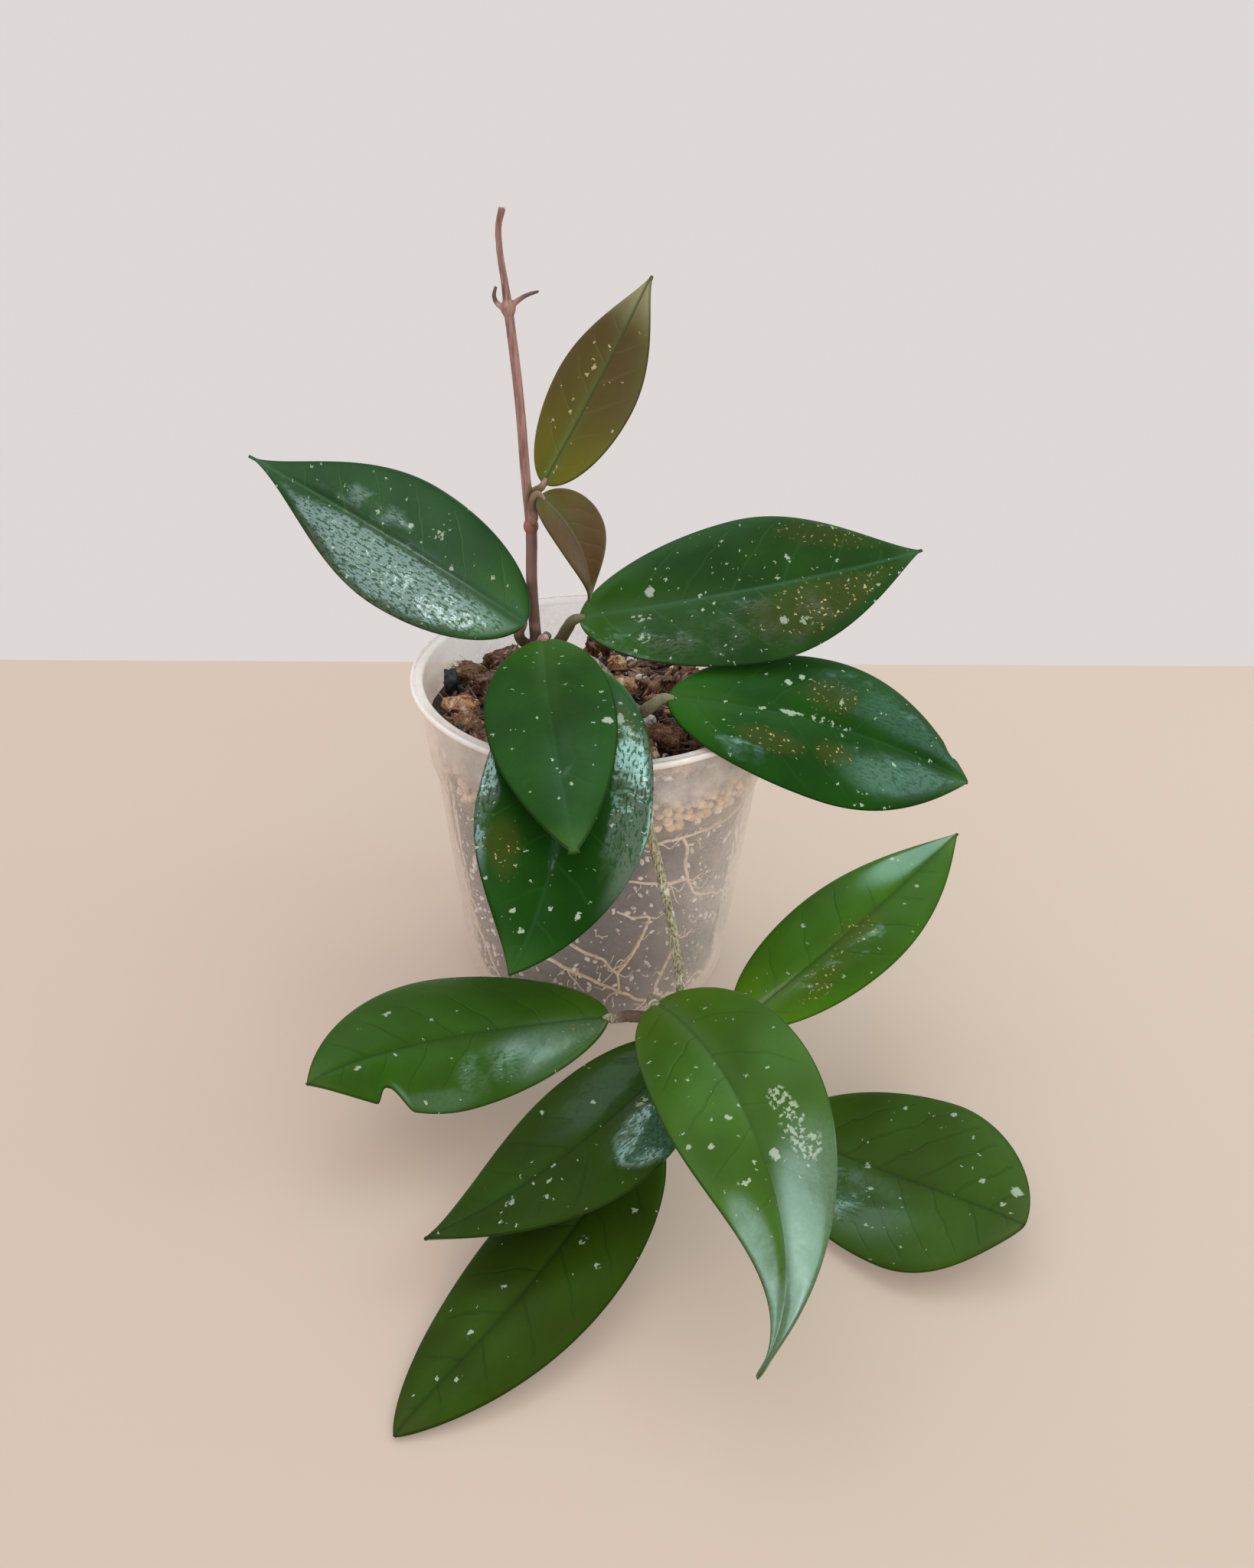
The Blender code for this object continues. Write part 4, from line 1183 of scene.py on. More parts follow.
LEAVES = (
    Leaf(
        "leaf_upper_left", (-23.4, 0, 125.6), 152, 20.5, 112, 43, droop=-4, sweep=2, hook=2, roll=-50,
        twist=-13, belly=0.43, taper=1.6, seed=1, tint=(0.66, 0.74, 1.7), veined=1.0,
        wet=(Patch(0.45, 0.52, 0.5, 0.7, 0.95), Patch(0.6, -0.3, 0.24, 0.35, 0.35)),
        sheen=(Patch(0.4, 0.5, 0.48, 0.72),),
        splashes=(
            Splash(0.35, -0.42, 2.4, 0.7, True), Splash(0.44, -0.3, 1.0), Splash(0.55, -0.25, 0.8),
            Splash(0.27, -0.1, 0.8), Splash(0.15, -0.4, 0.7), Splash(0.8, -0.8, 0.6), Splash(0.54, 0.88, 0.7),
        ),
    ),
    Leaf(
        "leaf_upper_right", (-6.6, 0, 128), -5, 13, 110, 50, droop=-4, sweep=20, hook=9, roll=27, twist=22,
        belly=0.48, taper=1.34, seed=2, tint=(0.85, 0.83, 1.1), flecked=1.4, gloss=0.08,
        wet=(Patch(0.15, -0.8, 0.25, 0.4, 0.35), Patch(0.5, -0.5, 0.4, 0.6, 0.35)),
        sheen=(Patch(0.25, -0.6, 0.3, 0.6, 0.25),),
        warm_reflection=(Patch(0.68, -0.45, 0.28, 0.5), Patch(0.75, 0.7, 0.2, 0.3, 0.6)),
        splashes=(
            Splash(0.21, 0.25, 2.1, 0.8), Splash(0.26, 0.38, 0.9, 0.7), Splash(0.61, 0.35, 0.9),
            Splash(0.35, 0.03, 0.8), Splash(0.57, 0.1, 1.0, 1.2, True), Splash(0.35, -0.57, 1.4, 0.8, True),
            Splash(0.18, -0.62, 1.9, 1.3, True), Splash(0.18, -0.22, 1.6, 1.4, True),
            Splash(0.56, -0.52, 1.3), Splash(0.62, -0.62, 1.6, 1.6, True),
        ),
    ),
    Leaf(
        "leaf_right", (21.2, -29.7, 116.5), -8, 2, 97, 53, droop=-33, sweep=10, hook=3, roll=13, twist=21,
        belly=0.49, taper=1.0, skew=-0.04, seed=3, tint=(0.6, 0.78, 0.6), gloss=0.03, painted_sheen=0.3, ribbed=0.3,
        veined=0.3,
        wet=(
            Patch(0.7, 0.55, 0.4, 0.55, 0.24), Patch(0.75, -0.4, 0.35, 0.5, 0.26),
            Patch(0.24, -0.75, 0.13, 0.25, 0.35),
        ),
        sheen=(Patch(0.75, 0.6, 0.4, 0.6, 0.28), Patch(0.8, -0.5, 0.34, 0.55, 0.42)),
        warm_reflection=(Patch(0.32, -0.45, 0.14, 0.2), Patch(0.5, 0.4, 0.12, 0.3, 0.8), Patch(0.52, -0.4, 0.08, 0.2)),
        splashes=(
            Splash(0.36, 0.48, 1.2), Splash(0.4, 0.58, 1.1), Splash(0.29, 0.02, 0.5, 3.0),
            Splash(0.38, 0.04, 0.7, 6.0), Splash(0.46, 0.06, 1.7, 1.5, True),
            Splash(0.53, 0.02, 1.1, 4.0, True), Splash(0.53, 0.33, 0.8), Splash(0.72, -0.32, 0.8),
        ),
        bites=(Bite(0.915, 1, 3.0, 1.3),),
    ),
    Leaf(
        "leaf_front_top", (-17, -9, 124.5), -86, 3, 98, 37, droop=-20, sweep=10, hook=-4, roll=7, twist=-2,
        belly=0.44, taper=0.9, seed=4, tint=(0.85, 0.9, 0.8), gloss=0.03, flecked=0.6, ribbed=0.15,
        veined=0.15, tip_end=1.5,
        wet=(Patch(0.85, 0.0, 0.3, 1.0, 0.14),),
        sheen=(Patch(0.8, 0.2, 0.4, 1.0, 0.12),),
        splashes=(
            Splash(0.53, 0.85, 1.6, 1.0), Splash(0.39, 0.83, 0.9, 0.6), Splash(0.33, 0.3, 0.7, 0.6),
            Splash(0.16, 0.38, 0.6), Splash(0.18, -0.8, 0.6), Splash(0.48, -0.2, 0.6),
            Splash(0.77, 0.18, 0.7),
        ),
    ),
    Leaf(
        "leaf_front_hanging", (-6, -15.5, 120), -86, 5, 114, 47, droop=-49, sweep=-16, hook=-29, roll=-5,
        twist=-3, belly=0.58, taper=1.0, seed=5, coat_roughness=0.1, coat_ior=1.9, painted_sheen=0.1,
        tint=(0.5, 0.75, 0.45), gloss=0.05, ribbed=0.3, veined=0.3,
        wet=(
            Patch(0.5, 0.75, 0.3, 0.42, 0.55), Patch(0.5, -0.9, 0.32, 0.25, 0.5),
            Patch(0.64, 0.0, 0.16, 0.12, 0.6),
        ),
        sheen=(
            Patch(0.56, 0.95, 0.3, 0.36), Patch(0.25, 0.9, 0.2, 0.5, 0.25), Patch(0.5, -0.95, 0.35, 0.2, 0.7),
        ),
        warm_reflection=(Patch(0.71, -0.65, 0.1, 0.3), Patch(0.3, 0.6, 0.1, 0.3, 0.7)),
        splashes=(
            Splash(0.28, 0.62, 1.3, 2.4), Splash(0.86, -0.47, 0.8), Splash(0.83, 0.2, 0.8, 0.6),
            Splash(0.83, 0.68, 0.8), Splash(0.61, 0.58, 0.7), Splash(0.9, -0.2, 0.7),
        ),
    ),
    Leaf(
        "young_leaf_upright", (-18, 10, 167.5), 25, 57, 67, 32, droop=4, sweep=3, hook=-5, roll=23,
        belly=0.45, taper=1.3, thickness=0.9, tone=Tone.OLIVE, slot="leaf_olive", seed=6,
        tint=(0.9, 0.87, 0.92),
        splashes=(
            Splash(0.55, 0.23, 0.6, 1.8), Splash(0.51, 0.3, 0.5), Splash(0.64, 0.55, 0.6),
            Splash(0.66, 0.15, 0.5), Splash(0.26, 0.55, 0.6),
        ),
    ),
    Leaf(
        "young_leaf_nodding", (-19, 6.6, 164.8), -22, -30, 39, 26, droop=-68, sweep=6, hook=15, roll=15,
        twist=-19, fold=0.23, cup=0.07, belly=0.44, taper=1.4, skew=0.1, thickness=0.9, tone=Tone.BRONZE,
        slot="leaf_bronze", seed=7, tint=(0.72, 0.69, 0.78),
    ),
    Leaf(
        "leaf_low_left_notched", (6.4, -78.3, 33.4), -183, -10, 93, 50, droop=20, sweep=41, hook=17, roll=2,
        twist=-23, fold=0.09, cup=0.25, belly=0.50, taper=1.07, skew=-0.07, tone=Tone.LOWER, seed=8, rows=170,
        coat_roughness=0.28, coat_ior=1.8, flecked=0.4, gloss=0.1, painted_sheen=0.25,
        wet=(Patch(0.42, 0.6, 0.18, 0.4, 0.4),),
        sheen=(Patch(0.14, 0.48, 0.36, 0.65, 0.75), Patch(0.6, 0.85, 0.2, 0.2, 0.4)),
        bites=(Bite(0.755, 1, 5.6, 6.6),),
        warm_reflection=(Patch(0.1, 0.5, 0.1, 0.5, 0.4),),
        splashes=(
            Splash(0.68, -0.62, 0.9, 1.6), Splash(0.7, 0.07, 0.6), Splash(0.83, 0.15, 0.7, 1.6),
            Splash(0.65, 0.8, 0.6), Splash(0.56, -0.3, 0.5), Splash(0.53, 0.3, 0.5),
        ),
    ),
    Leaf(
        "leaf_low_front_left", (30, -96, 41), -137, -24, 90, 45, droop=16, sweep=-13, hook=-8, roll=2,
        twist=11, belly=0.41, taper=1.2, tone=Tone.SHADED, seed=9, tint=(0.8, 0.92, 0.8), gloss=0.06,
        flecked=0.45, painted_sheen=0.4,
        wet=(Patch(0.28, 0.6, 0.2, 0.55, 0.95),),
        sheen=(Patch(0.25, 0.5, 0.24, 0.6, 0.35), Patch(0.2, -0.4, 0.45, 0.6, 0.2)),
        splashes=(
            Splash(0.24, 0.15, 1.8, 1.3, True), Splash(0.74, 0.25, 1.6, 1.0, True),
            Splash(0.65, 0.5, 1.2, 1.0, True), Splash(0.49, -0.78, 0.8), Splash(0.57, 0.03, 0.7),
            Splash(0.61, 0.23, 0.8), Splash(0.35, -0.35, 0.7),
        ),
    ),
    Leaf(
        "leaf_low_front_arched", (20, -85, 45.5), -63, 28, 121, 42, droop=-80, sweep=-12, hook=-74, roll=16,
        twist=6, fold=0.18, cup=0.11, belly=0.40, taper=1.85, skew=0.04, tone=Tone.LOWER, seed=10,
        tint=(1.45, 1.25, 1.6), rows=150, coat_roughness=0.24, flecked=0.6, ribbed=0.5, painted_sheen=0.2,
        sheen=(
            Patch(0.74, 0.65, 0.28, 0.9), Patch(0.76, -0.6, 0.18, 0.5, 0.9), Patch(0.92, 0.0, 0.14, 1.5, 0.9),
        ),
        splashes=(
            Splash(0.47, 0.45, 3.2, 1.2, True), Splash(0.52, 0.52, 4.0, 1.3, True),
            Splash(0.57, 0.62, 4.2, 1.2, True), Splash(0.57, 0.16, 1.3, 1.5),
            Splash(0.61, -0.38, 1.9, 0.9, True), Splash(0.46, -0.22, 0.8),
            Splash(0.45, -0.42, 0.9, 0.7, True), Splash(0.51, -0.57, 0.9), Splash(0.49, -0.82, 0.7),
            Splash(0.39, 0.23, 0.8, 0.6),
        ),
    ),
    Leaf(
        "leaf_low_right_round", (58, -91.5, 3), -32, 2, 77, 59, droop=12, hook=-15, roll=7, twist=5,
        fold=0.17, cup=0.11, belly=0.59, taper=0.7, tone=Tone.SHADED, seed=11, tint=(1.2, 1.25, 1.2),
        gloss=0.1, flecked=0.5, painted_sheen=0.3,
        sheen=(Patch(0.35, -0.45, 0.42, 0.6, 0.28),),
        wet=(Patch(0.25, -0.55, 0.28, 0.5, 0.5),),
        splashes=(
            Splash(0.92, 0.58, 1.7), Splash(0.42, 0.8, 1.3, 1.4, True), Splash(0.39, -0.02, 1.3, 1.0, True),
            Splash(0.45, -0.3, 1.4, 0.8, True), Splash(0.8, 0.3, 0.9), Splash(0.61, 0.85, 0.8),
            Splash(0.9, 0.18, 0.8),
        ),
    ),
    Leaf(
        "leaf_low_right_raised", (45, -81, 35), 40, 12, 107, 37, sweep=6, roll=2, twist=3, belly=0.44,
        taper=1.1, skew=0.04, tone=Tone.LOWER, seed=12, tint=(1.6, 1.48, 1.2), gloss=0.08, flecked=0.5,
        sheen=(Patch(0.85, 0.5, 0.3, 0.6, 0.5), Patch(0.14, -0.2, 0.16, 0.6, 0.8)),
        wet=(Patch(0.35, -0.4, 0.3, 0.4, 0.3),),
        warm_reflection=(Patch(0.48, -0.1, 0.14, 0.35), Patch(0.3, -0.35, 0.12, 0.3), Patch(0.23, -0.57, 0.1, 0.2)),
        splashes=(
            Splash(0.38, 0.65, 0.8), Splash(0.77, 0.78, 0.8), Splash(0.73, -0.3, 0.8),
            Splash(0.46, -0.62, 0.9, 1.0, True), Splash(0.32, -0.6, 0.6),
        ),
    ),
    Leaf(
        "leaf_low_resting", (17.5, -103, 18.8), -114, -11, 107, 40, droop=3, sweep=-24, hook=13, roll=4,
        fold=0.12, cup=0.2, belly=0.45, taper=0.8, tone=Tone.SHADED, seed=13, tint=(0.95, 1.0, 0.85),
        gloss=0.06, flecked=0.15, veined=1.0,
        splashes=(
            Splash(0.39, 0.25, 1.4, 1.2, True), Splash(0.42, 0.6, 1.5, 1.2, True),
            Splash(0.73, -0.22, 1.4, 1.0, True), Splash(0.82, 0.28, 1.3, 1.0, True), Splash(0.26, 0.65, 0.8),
            Splash(0.59, -0.25, 0.8),
        ),
    ),
)


@dataclass(frozen=True)
class Stalk:
    """A leaf stalk: the node of the blade that it carries, the points that it passes and its radius."""

    leaf: str
    points: tuple[Point, ...]
    radius: float
    from_beneath: bool = False

    into_blade = 2.0
    under_reach = 2.2
    end_radius = 1.65

    def mesh(self) -> bpy.types.Mesh:
        """Makes the stalk.

        Returns:
            Its tube, which ends inside the blade's base.
        """
        leaf = next(leaf for leaf in LEAVES if leaf.node == self.leaf)
        forward, _, normal = leaf.directions(0)
        if self.from_beneath:
            end = Vector(leaf.base) + self.under_reach * forward - 0.2 * normal
            ahead = normal
        else:
            end = Vector(leaf.base) + self.into_blade * forward
            ahead = forward
        points = [*map(Vector, self.points), end - 1.5 * self.into_blade * ahead, end]
        last = min(self.radius, self.end_radius)
        radii = [self.radius] * (len(points) - 2) + [last, last * 0.6]
        return tube(points, radii)


@dataclass(frozen=True)
class Stem:
    """One stem with all that grew on it as one piece: its nodes, its leaf stalks and its shoots.

    A row of its route is a point and the radius there. A shoot is its points and its first and last radius.
    """

    name: str
    node: str
    slot: str
    matter: Matter
    route: tuple[tuple[float, float, float, float], ...]
    swellings: tuple[tuple[Point, float], ...]
    stalks: tuple[Stalk, ...]
    shoots: tuple[tuple[tuple[Point, ...], float, float], ...] = ()
    voxel: float = 0.32
    cork: float = 0.04
    cork_size: float = 1.2

    swelling_stretch = 1.15

    def build(self) -> bpy.types.Object:
        """Fuses the tubes into one skin, and roughens it along its length.

        Returns:
            The dressed piece.
        """
        shape = bmesh.new()
        parts = [tube([Vector(knot[:3]) for knot in self.route], [knot[3] for knot in self.route])]
        parts += [stalk.mesh() for stalk in self.stalks]
        for points, first, last in self.shoots:
            radii = [first + (last - first) * index / (len(points) - 1) for index in range(len(points))]
            parts.append(tube([Vector(point) for point in points], radii))
        for part in parts:
            shape.from_mesh(part)
            bpy.data.meshes.remove(part)
        for centre, radius in self.swellings:
            place = Matrix.Translation(centre) @ Matrix.Diagonal((1, 1, self.swelling_stretch, 1))
            bmesh.ops.create_icosphere(shape, subdivisions=3, radius=radius, matrix=place)
        fused = object_of(self.name, shape)
        skin = fused.modifiers.new("Fuse", "REMESH")
        skin.mode = "VOXEL"
        skin.voxel_size = self.voxel * MM
        skin.use_smooth_shade = True
        relax = fused.modifiers.new("Relax", "SMOOTH")
        relax.factor = 0.5
        relax.iterations = 4
        mesh = baked(fused)
        shape = in_millimetres(mesh)
        bpy.data.meshes.remove(mesh)
        for corner in shape.verts:
            spot = corner.co / self.cork_size
            wave = noise.noise(Vector((spot.x, spot.y, spot.z * 0.4)))
            corner.co += corner.normal * self.cork * wave
        piece = object_of(self.name, shape, self.matter.value.material(self.name + "_skin"))
        return dress(piece, self.slot, self.node)


STEM_FOOT = 76.0
MAIN_STEM = Stem(
    name="upright_stem",
    node="main_stem",
    slot="stem",
    matter=Matter.STEM,
    route=(
        (-20, 8, STEM_FOOT, 1.9), (-20, 8, 86, 1.9), (-20, 8, 96.5, 1.9), (-20.2, 8.5, 101.5, 1.9),
        (-20.7, 9.3, 106, 1.9), (-21.1, 10, 115, 1.95), (-22.1, 10, 135, 1.85), (-22, 10, 154, 1.8),
        (-23.1, 10, 166, 1.55), (-24.8, 10, 193, 1.45), (-27.3, 10, 218, 1.4), (-28, 10, 224, 1.1),
        (-29.3, 10, 234, 0.95), (-29.4, 10, 239, 0.9), (-28.2, 10, 244, 1.05),
    ),
    swellings=(
        ((-20.7, 9.3, 106), 2.4), ((-21, 9.9, 112), 2.5), ((-22, 10, 154), 2.4), ((-27.3, 10, 218), 2.2),
    ),
    stalks=(
        Stalk("leaf_upper_left", ((-21, 10, 112), (-24.6, 8.8, 114.6), (-26.2, 6.6, 118.6)), 1.8, True),
        Stalk("leaf_upper_right", ((-21, 10, 112), (-16, 9, 113), (-13, 7, 117), (-10.6, 4, 122.4)), 2.0),
        Stalk("leaf_front_top", ((-20.7, 9.3, 106), (-19.7, 4, 111.5), (-18.4, -2.5, 120)), 1.7),
        Stalk("young_leaf_upright", ((-22, 10, 154), (-21.4, 12.2, 160), (-20.8, 11.4, 164.6)), 1.2),
        Stalk("young_leaf_nodding", ((-22, 10, 154), (-20.6, 7, 158), (-21, 6.4, 163.5)), 1.2),
    ),
    shoots=(
        (((-27.3, 10, 218), (-29.4, 9.5, 218.6), (-31, 9, 220.9), (-30.5, 9, 224)), 1.0, 0.5),
        (((-27.3, 10, 218), (-25.3, 9.5, 219.6), (-22.2, 9, 221.7), (-18.5, 9, 223)), 1.0, 0.45),
        (((-21, 9.9, 112), (-18.8, 9.4, 115), (-17, 9, 118)), 1.2, 1.5),
    ),
)
TRAILING_VINE = Stem(
    name="hanging_vine",
    node="trailing_vine",
    slot="vine_bark",
    matter=Matter.VINE,
    cork=0.16,
    route=(
        (5, 5, STEM_FOOT, 1.6), (5, 5, 85, 1.6), (5, 5, 94.5, 1.6), (5, 3.4, 99.5, 1.6),
        (5.3, -2.6, 104.2, 1.6), (6, -11, 107.5, 1.6), (8, -26, 111, 1.5), (10, -44, 112.2, 1.4),
        (12.4, -58.5, 111.8, 1.4), (13.4, -62, 110.6, 1.4), (14.6, -64.8, 105, 1.4), (16.4, -66.5, 95.5, 1.4),
        (20.5, -69, 79, 1.4), (24.2, -73, 64, 1.4), (27.5, -79.5, 45, 1.4), (28, -83, 38, 1.4),
        (29.5, -87, 30, 1.4), (33, -91, 20, 1.4), (36, -93, 13, 1.4), (39, -95, 7.5, 1.3), (42, -98, 4, 1.2),
        (44, -102, 2.6, 1.1),
    ),
    swellings=(((6, -11, 107.5), 2.3), ((28, -83, 38), 2.3), ((29.5, -87, 30), 2.1), ((36, -93, 13), 2.2)),
    stalks=(
        Stalk("leaf_right", ((6, -11, 107.5), (12.7, -20, 106.5), (16, -28, 112.5)), 1.9),
        Stalk("leaf_front_hanging", ((6, -11, 107.5), (2, -9, 113.5), (-3.4, -9.4, 118.4)), 1.7),
        Stalk("leaf_low_left_notched", ((28, -83, 38), (19, -81.5, 37), (12, -79.6, 35.6)), 1.8),
        Stalk("leaf_low_right_raised", ((28, -83, 38), (35, -84.5, 36.5), (40.5, -84, 34.8)), 1.8),
        Stalk("leaf_low_front_arched", ((28, -83, 38), (23, -80, 40.5), (19.2, -80.6, 43.2)), 1.8),
        Stalk("leaf_low_front_left", ((29.5, -87, 30), (33, -88.6, 36), (33.8, -91.6, 41)), 1.7),
        Stalk("leaf_low_resting", ((36, -93, 13), (28, -94.5, 17), (21.4, -97.4, 19.4)), 1.7),
        Stalk("leaf_low_right_round", ((36, -93, 13), (44, -90.6, 8.5), (51.5, -88.4, 3.8)), 1.6),
    ),
)


@dataclass(frozen=True)
class Pot:
    """The clear pot: a thin wall in two tapers with a step between them, and a flat grooved lip."""

    height: float = 110.0
    wall: float = 1.1
    floor: float = 1.6
    base_radius: float = 46.0
    step_radius: float = 53.4
    step_height: float = 79.0
    shoulder_radius: float = 56.3
    shoulder_height: float = 94.0
    neck_radius: float = 57.2
    lip_radius: float = 60.0
    lip_depth: float = 1.7
    foot: float = 1.5
    sides: int = 128
    drain_radius: float = 2.5
    drain_rings: tuple[tuple[int, float], ...] = ((8, 35.0), (4, 18.0))

    ledge = ((0.0, 0.0), (0.8, 1.2), (2.0, 5.0))
    ledge_lift = 0.4
    rows = (14, 30, 46, 62, 74)
    drain_sides = 24
    crisp_angle = 50.0

    def inside(self, height: float) -> float:
        """The inner wall's radius below the step."""
        widening = (self.step_radius - self.base_radius) * height / self.step_height
        return self.base_radius + widening - self.wall

    def outline(self) -> list[tuple[float, float]]:
        """The wall's cut shape.

        Returns:
            Its radii and heights, from the middle of the underside round to the inside.
        """
        top, neck, lip = self.height, self.neck_radius, self.lip_radius
        shoulder, wall = self.shoulder_radius, self.wall
        outside = [
            (0, 0), (self.base_radius - 4, 0), (self.base_radius - self.foot, 0),
            (self.base_radius - 0.4, 0.4), (self.base_radius, self.foot), (self.base_radius + 0.2, 3.0),
            *((self.inside(height) + wall, height) for height in self.rows),
            *((self.step_radius + out, self.step_height + up) for out, up in self.ledge),
            (shoulder - 0.4, 90), (shoulder, self.shoulder_height),
            (neck - 0.3, 104), (neck, top - self.lip_depth - 0.3), (neck + 0.3, top - self.lip_depth),
            (lip - 0.3, top - self.lip_depth), (lip, top - self.lip_depth + 0.3), (lip, top - 0.4),
            (lip - 0.4, top), (lip - 0.9, top), (lip - 1.15, top - 0.35), (lip - 1.5, top - 0.35),
            (lip - 1.75, top), (neck - wall + 0.5, top),
        ]
        inside = [
            (neck - wall, top - 0.5), (neck - wall, top - self.lip_depth),
            (shoulder - wall, self.shoulder_height), (shoulder - wall - 0.4, 90),
            *(
                (self.step_radius + out - wall, self.step_height + up + self.ledge_lift)
                for out, up in reversed(self.ledge)
            ),
            *((self.inside(height), height) for height in (*reversed(self.rows), self.floor + 1)),
            (self.inside(self.floor) - 0.8, self.floor), (0, self.floor),
        ]
        return outside + inside

    def build(self) -> bpy.types.Object:
        """Turns the wall, and cuts the drainage holes through its floor.

        Returns:
            The dressed piece.
        """
        turned = object_of("clear_pot", spun(self.outline(), self.sides))
        drains = bmesh.new()
        size = {"radius1": self.drain_radius, "radius2": self.drain_radius, "depth": 3 * self.floor}
        for count, ring in self.drain_rings:
            for index in range(count):
                middle = round_axis(math.tau * (index + 0.5) / count, ring, self.floor / 2)
                place = Matrix.Translation(middle)
                bmesh.ops.create_cone(drains, cap_ends=True, segments=self.drain_sides, matrix=place, **size)
        cutter = object_of("drains", drains)
        cut = turned.modifiers.new("Drains", "BOOLEAN")
        cut.operation = "DIFFERENCE"
        cut.object = cutter
        mesh = baked(turned)
        bpy.data.objects.remove(cutter, do_unlink=True)
        mesh.materials.clear()
        mesh.materials.append(PlasticFinish().material("hazy_clear_plastic"))
        piece = placed("clear_pot", mesh)
        edge = piece.modifiers.new("Crisp edges", "EDGE_SPLIT")
        edge.split_angle = math.radians(self.crisp_angle)
        return dress(piece, "clear_plastic", "pot")


@dataclass
class Heap:
    """Many small pieces of one kind, fused into one mesh, each with its own shade."""

    name: str
    slot: str
    matter: Matter
    flat: bool = False
    shape: bmesh.types.BMesh = field(default_factory=bmesh.new)

    def __post_init__(self) -> None:
        """Gives the empty shape its shades."""
        self.shape.verts.layers.float.new("shade")

    def add(self, template: bpy.types.Mesh, place: Matrix, shade: float) -> None:
        """Adds one small piece.

        Args:
            template: its shape, in millimetres.
            place: where it goes.
            shade: 0 for the darkest and 1 for the palest.
        """
        before = len(self.shape.verts)
        piece = template.copy()
        piece.transform(place)
        self.shape.from_mesh(piece)
        bpy.data.meshes.remove(piece)
        self.shape.verts.ensure_lookup_table()
        layer = self.shape.verts.layers.float["shade"]
        for corner in self.shape.verts[before:]:
            corner[layer] = shade

    def build(self, *nodes: str) -> bpy.types.Object:
        """Makes the piece.

        Args:
            *nodes: the CAD nodes that it stands for.

        Returns:
            The dressed piece.
        """
        bmesh.ops.recalc_face_normals(self.shape, faces=self.shape.faces)
        piece = object_of(self.name, self.shape, self.matter.value.material(self.name + "_skin"))
        if self.flat:
            piece.data.shade_flat()
        return dress(piece, self.slot, *nodes)


class Crumb(Enum):
    """The small shapes that heaps are made of: how rough each one is, and how fine its waves are."""

    PEBBLE = (0.28, 1.3)
    GRAIN = (0.35, 1.4)
    SPLINTER = (0.3, 1.1)
    FIBRE = (0.0, 1.0)

    def template(self, seed: int) -> bpy.types.Mesh:
        """One shape about 1 mm in radius, or 2 mm long.

        Args:
            seed: which of its random forms it takes.

        Returns:
            The mesh.
        """
        shape = bmesh.new()
        if self is Crumb.SPLINTER:
            bmesh.ops.create_cube(shape, size=2)
            bmesh.ops.subdivide_edges(shape, edges=shape.edges, cuts=2, use_grid_fill=True)
        elif self is Crumb.FIBRE:
            bmesh.ops.create_cone(shape, cap_ends=True, segments=5, radius1=1, radius2=0.4, depth=2)
            sides = [edge for edge in shape.edges if abs(edge.verts[0].co.z - edge.verts[1].co.z) > 0.5]
            bmesh.ops.subdivide_edges(shape, edges=sides, cuts=4)
        else:
            bmesh.ops.create_icosphere(shape, subdivisions=2 if self is Crumb.PEBBLE else 1, radius=1)
        rough, wave = self.value
        for corner in shape.verts:
            corner.co *= 1 + rough * noise.noise(corner.co * wave + Vector((7.3 * seed, 0, 0)))
            if self is Crumb.SPLINTER:
                corner.co.x *= 1 - 0.45 * smooth(abs(corner.co.z), 0.3, 1.1)
                corner.co.y *= 1 - 0.3 * noise.noise(Vector((3 * corner.co.x, 2.1 * seed, corner.co.z)))
            if self is Crumb.FIBRE:
                corner.co.x += 6 * (corner.co.z**2) * math.sin(seed)
                corner.co.y += 3 * noise.noise(Vector((0, 5.1 * seed, corner.co.z)))
        return mesh_of(self.name.lower(), shape)

    def templates(self) -> list[bpy.types.Mesh]:
        """Its random forms."""
        return [self.template(seed) for seed in range(6)]


def turned_matrix(place: Point | Vector, size: Point, yaw: float, lean: float, spin: float = 0.0) -> Matrix:
    """A place, a size and three turns as one matrix.

    Args:
        place: where it goes.
        size: half its size along X, Y and Z.
        yaw: its turn about Z.
        lean: how far its own Z leans over.
        spin: its turn about its own Z.

    Returns:
        The matrix.
    """
    turn = Matrix.Rotation(yaw, 4, "Z") @ Matrix.Rotation(lean, 4, "Y") @ Matrix.Rotation(spin, 4, "Z")
    return Matrix.Translation(place) @ turn @ Matrix.Diagonal((*size, 1))


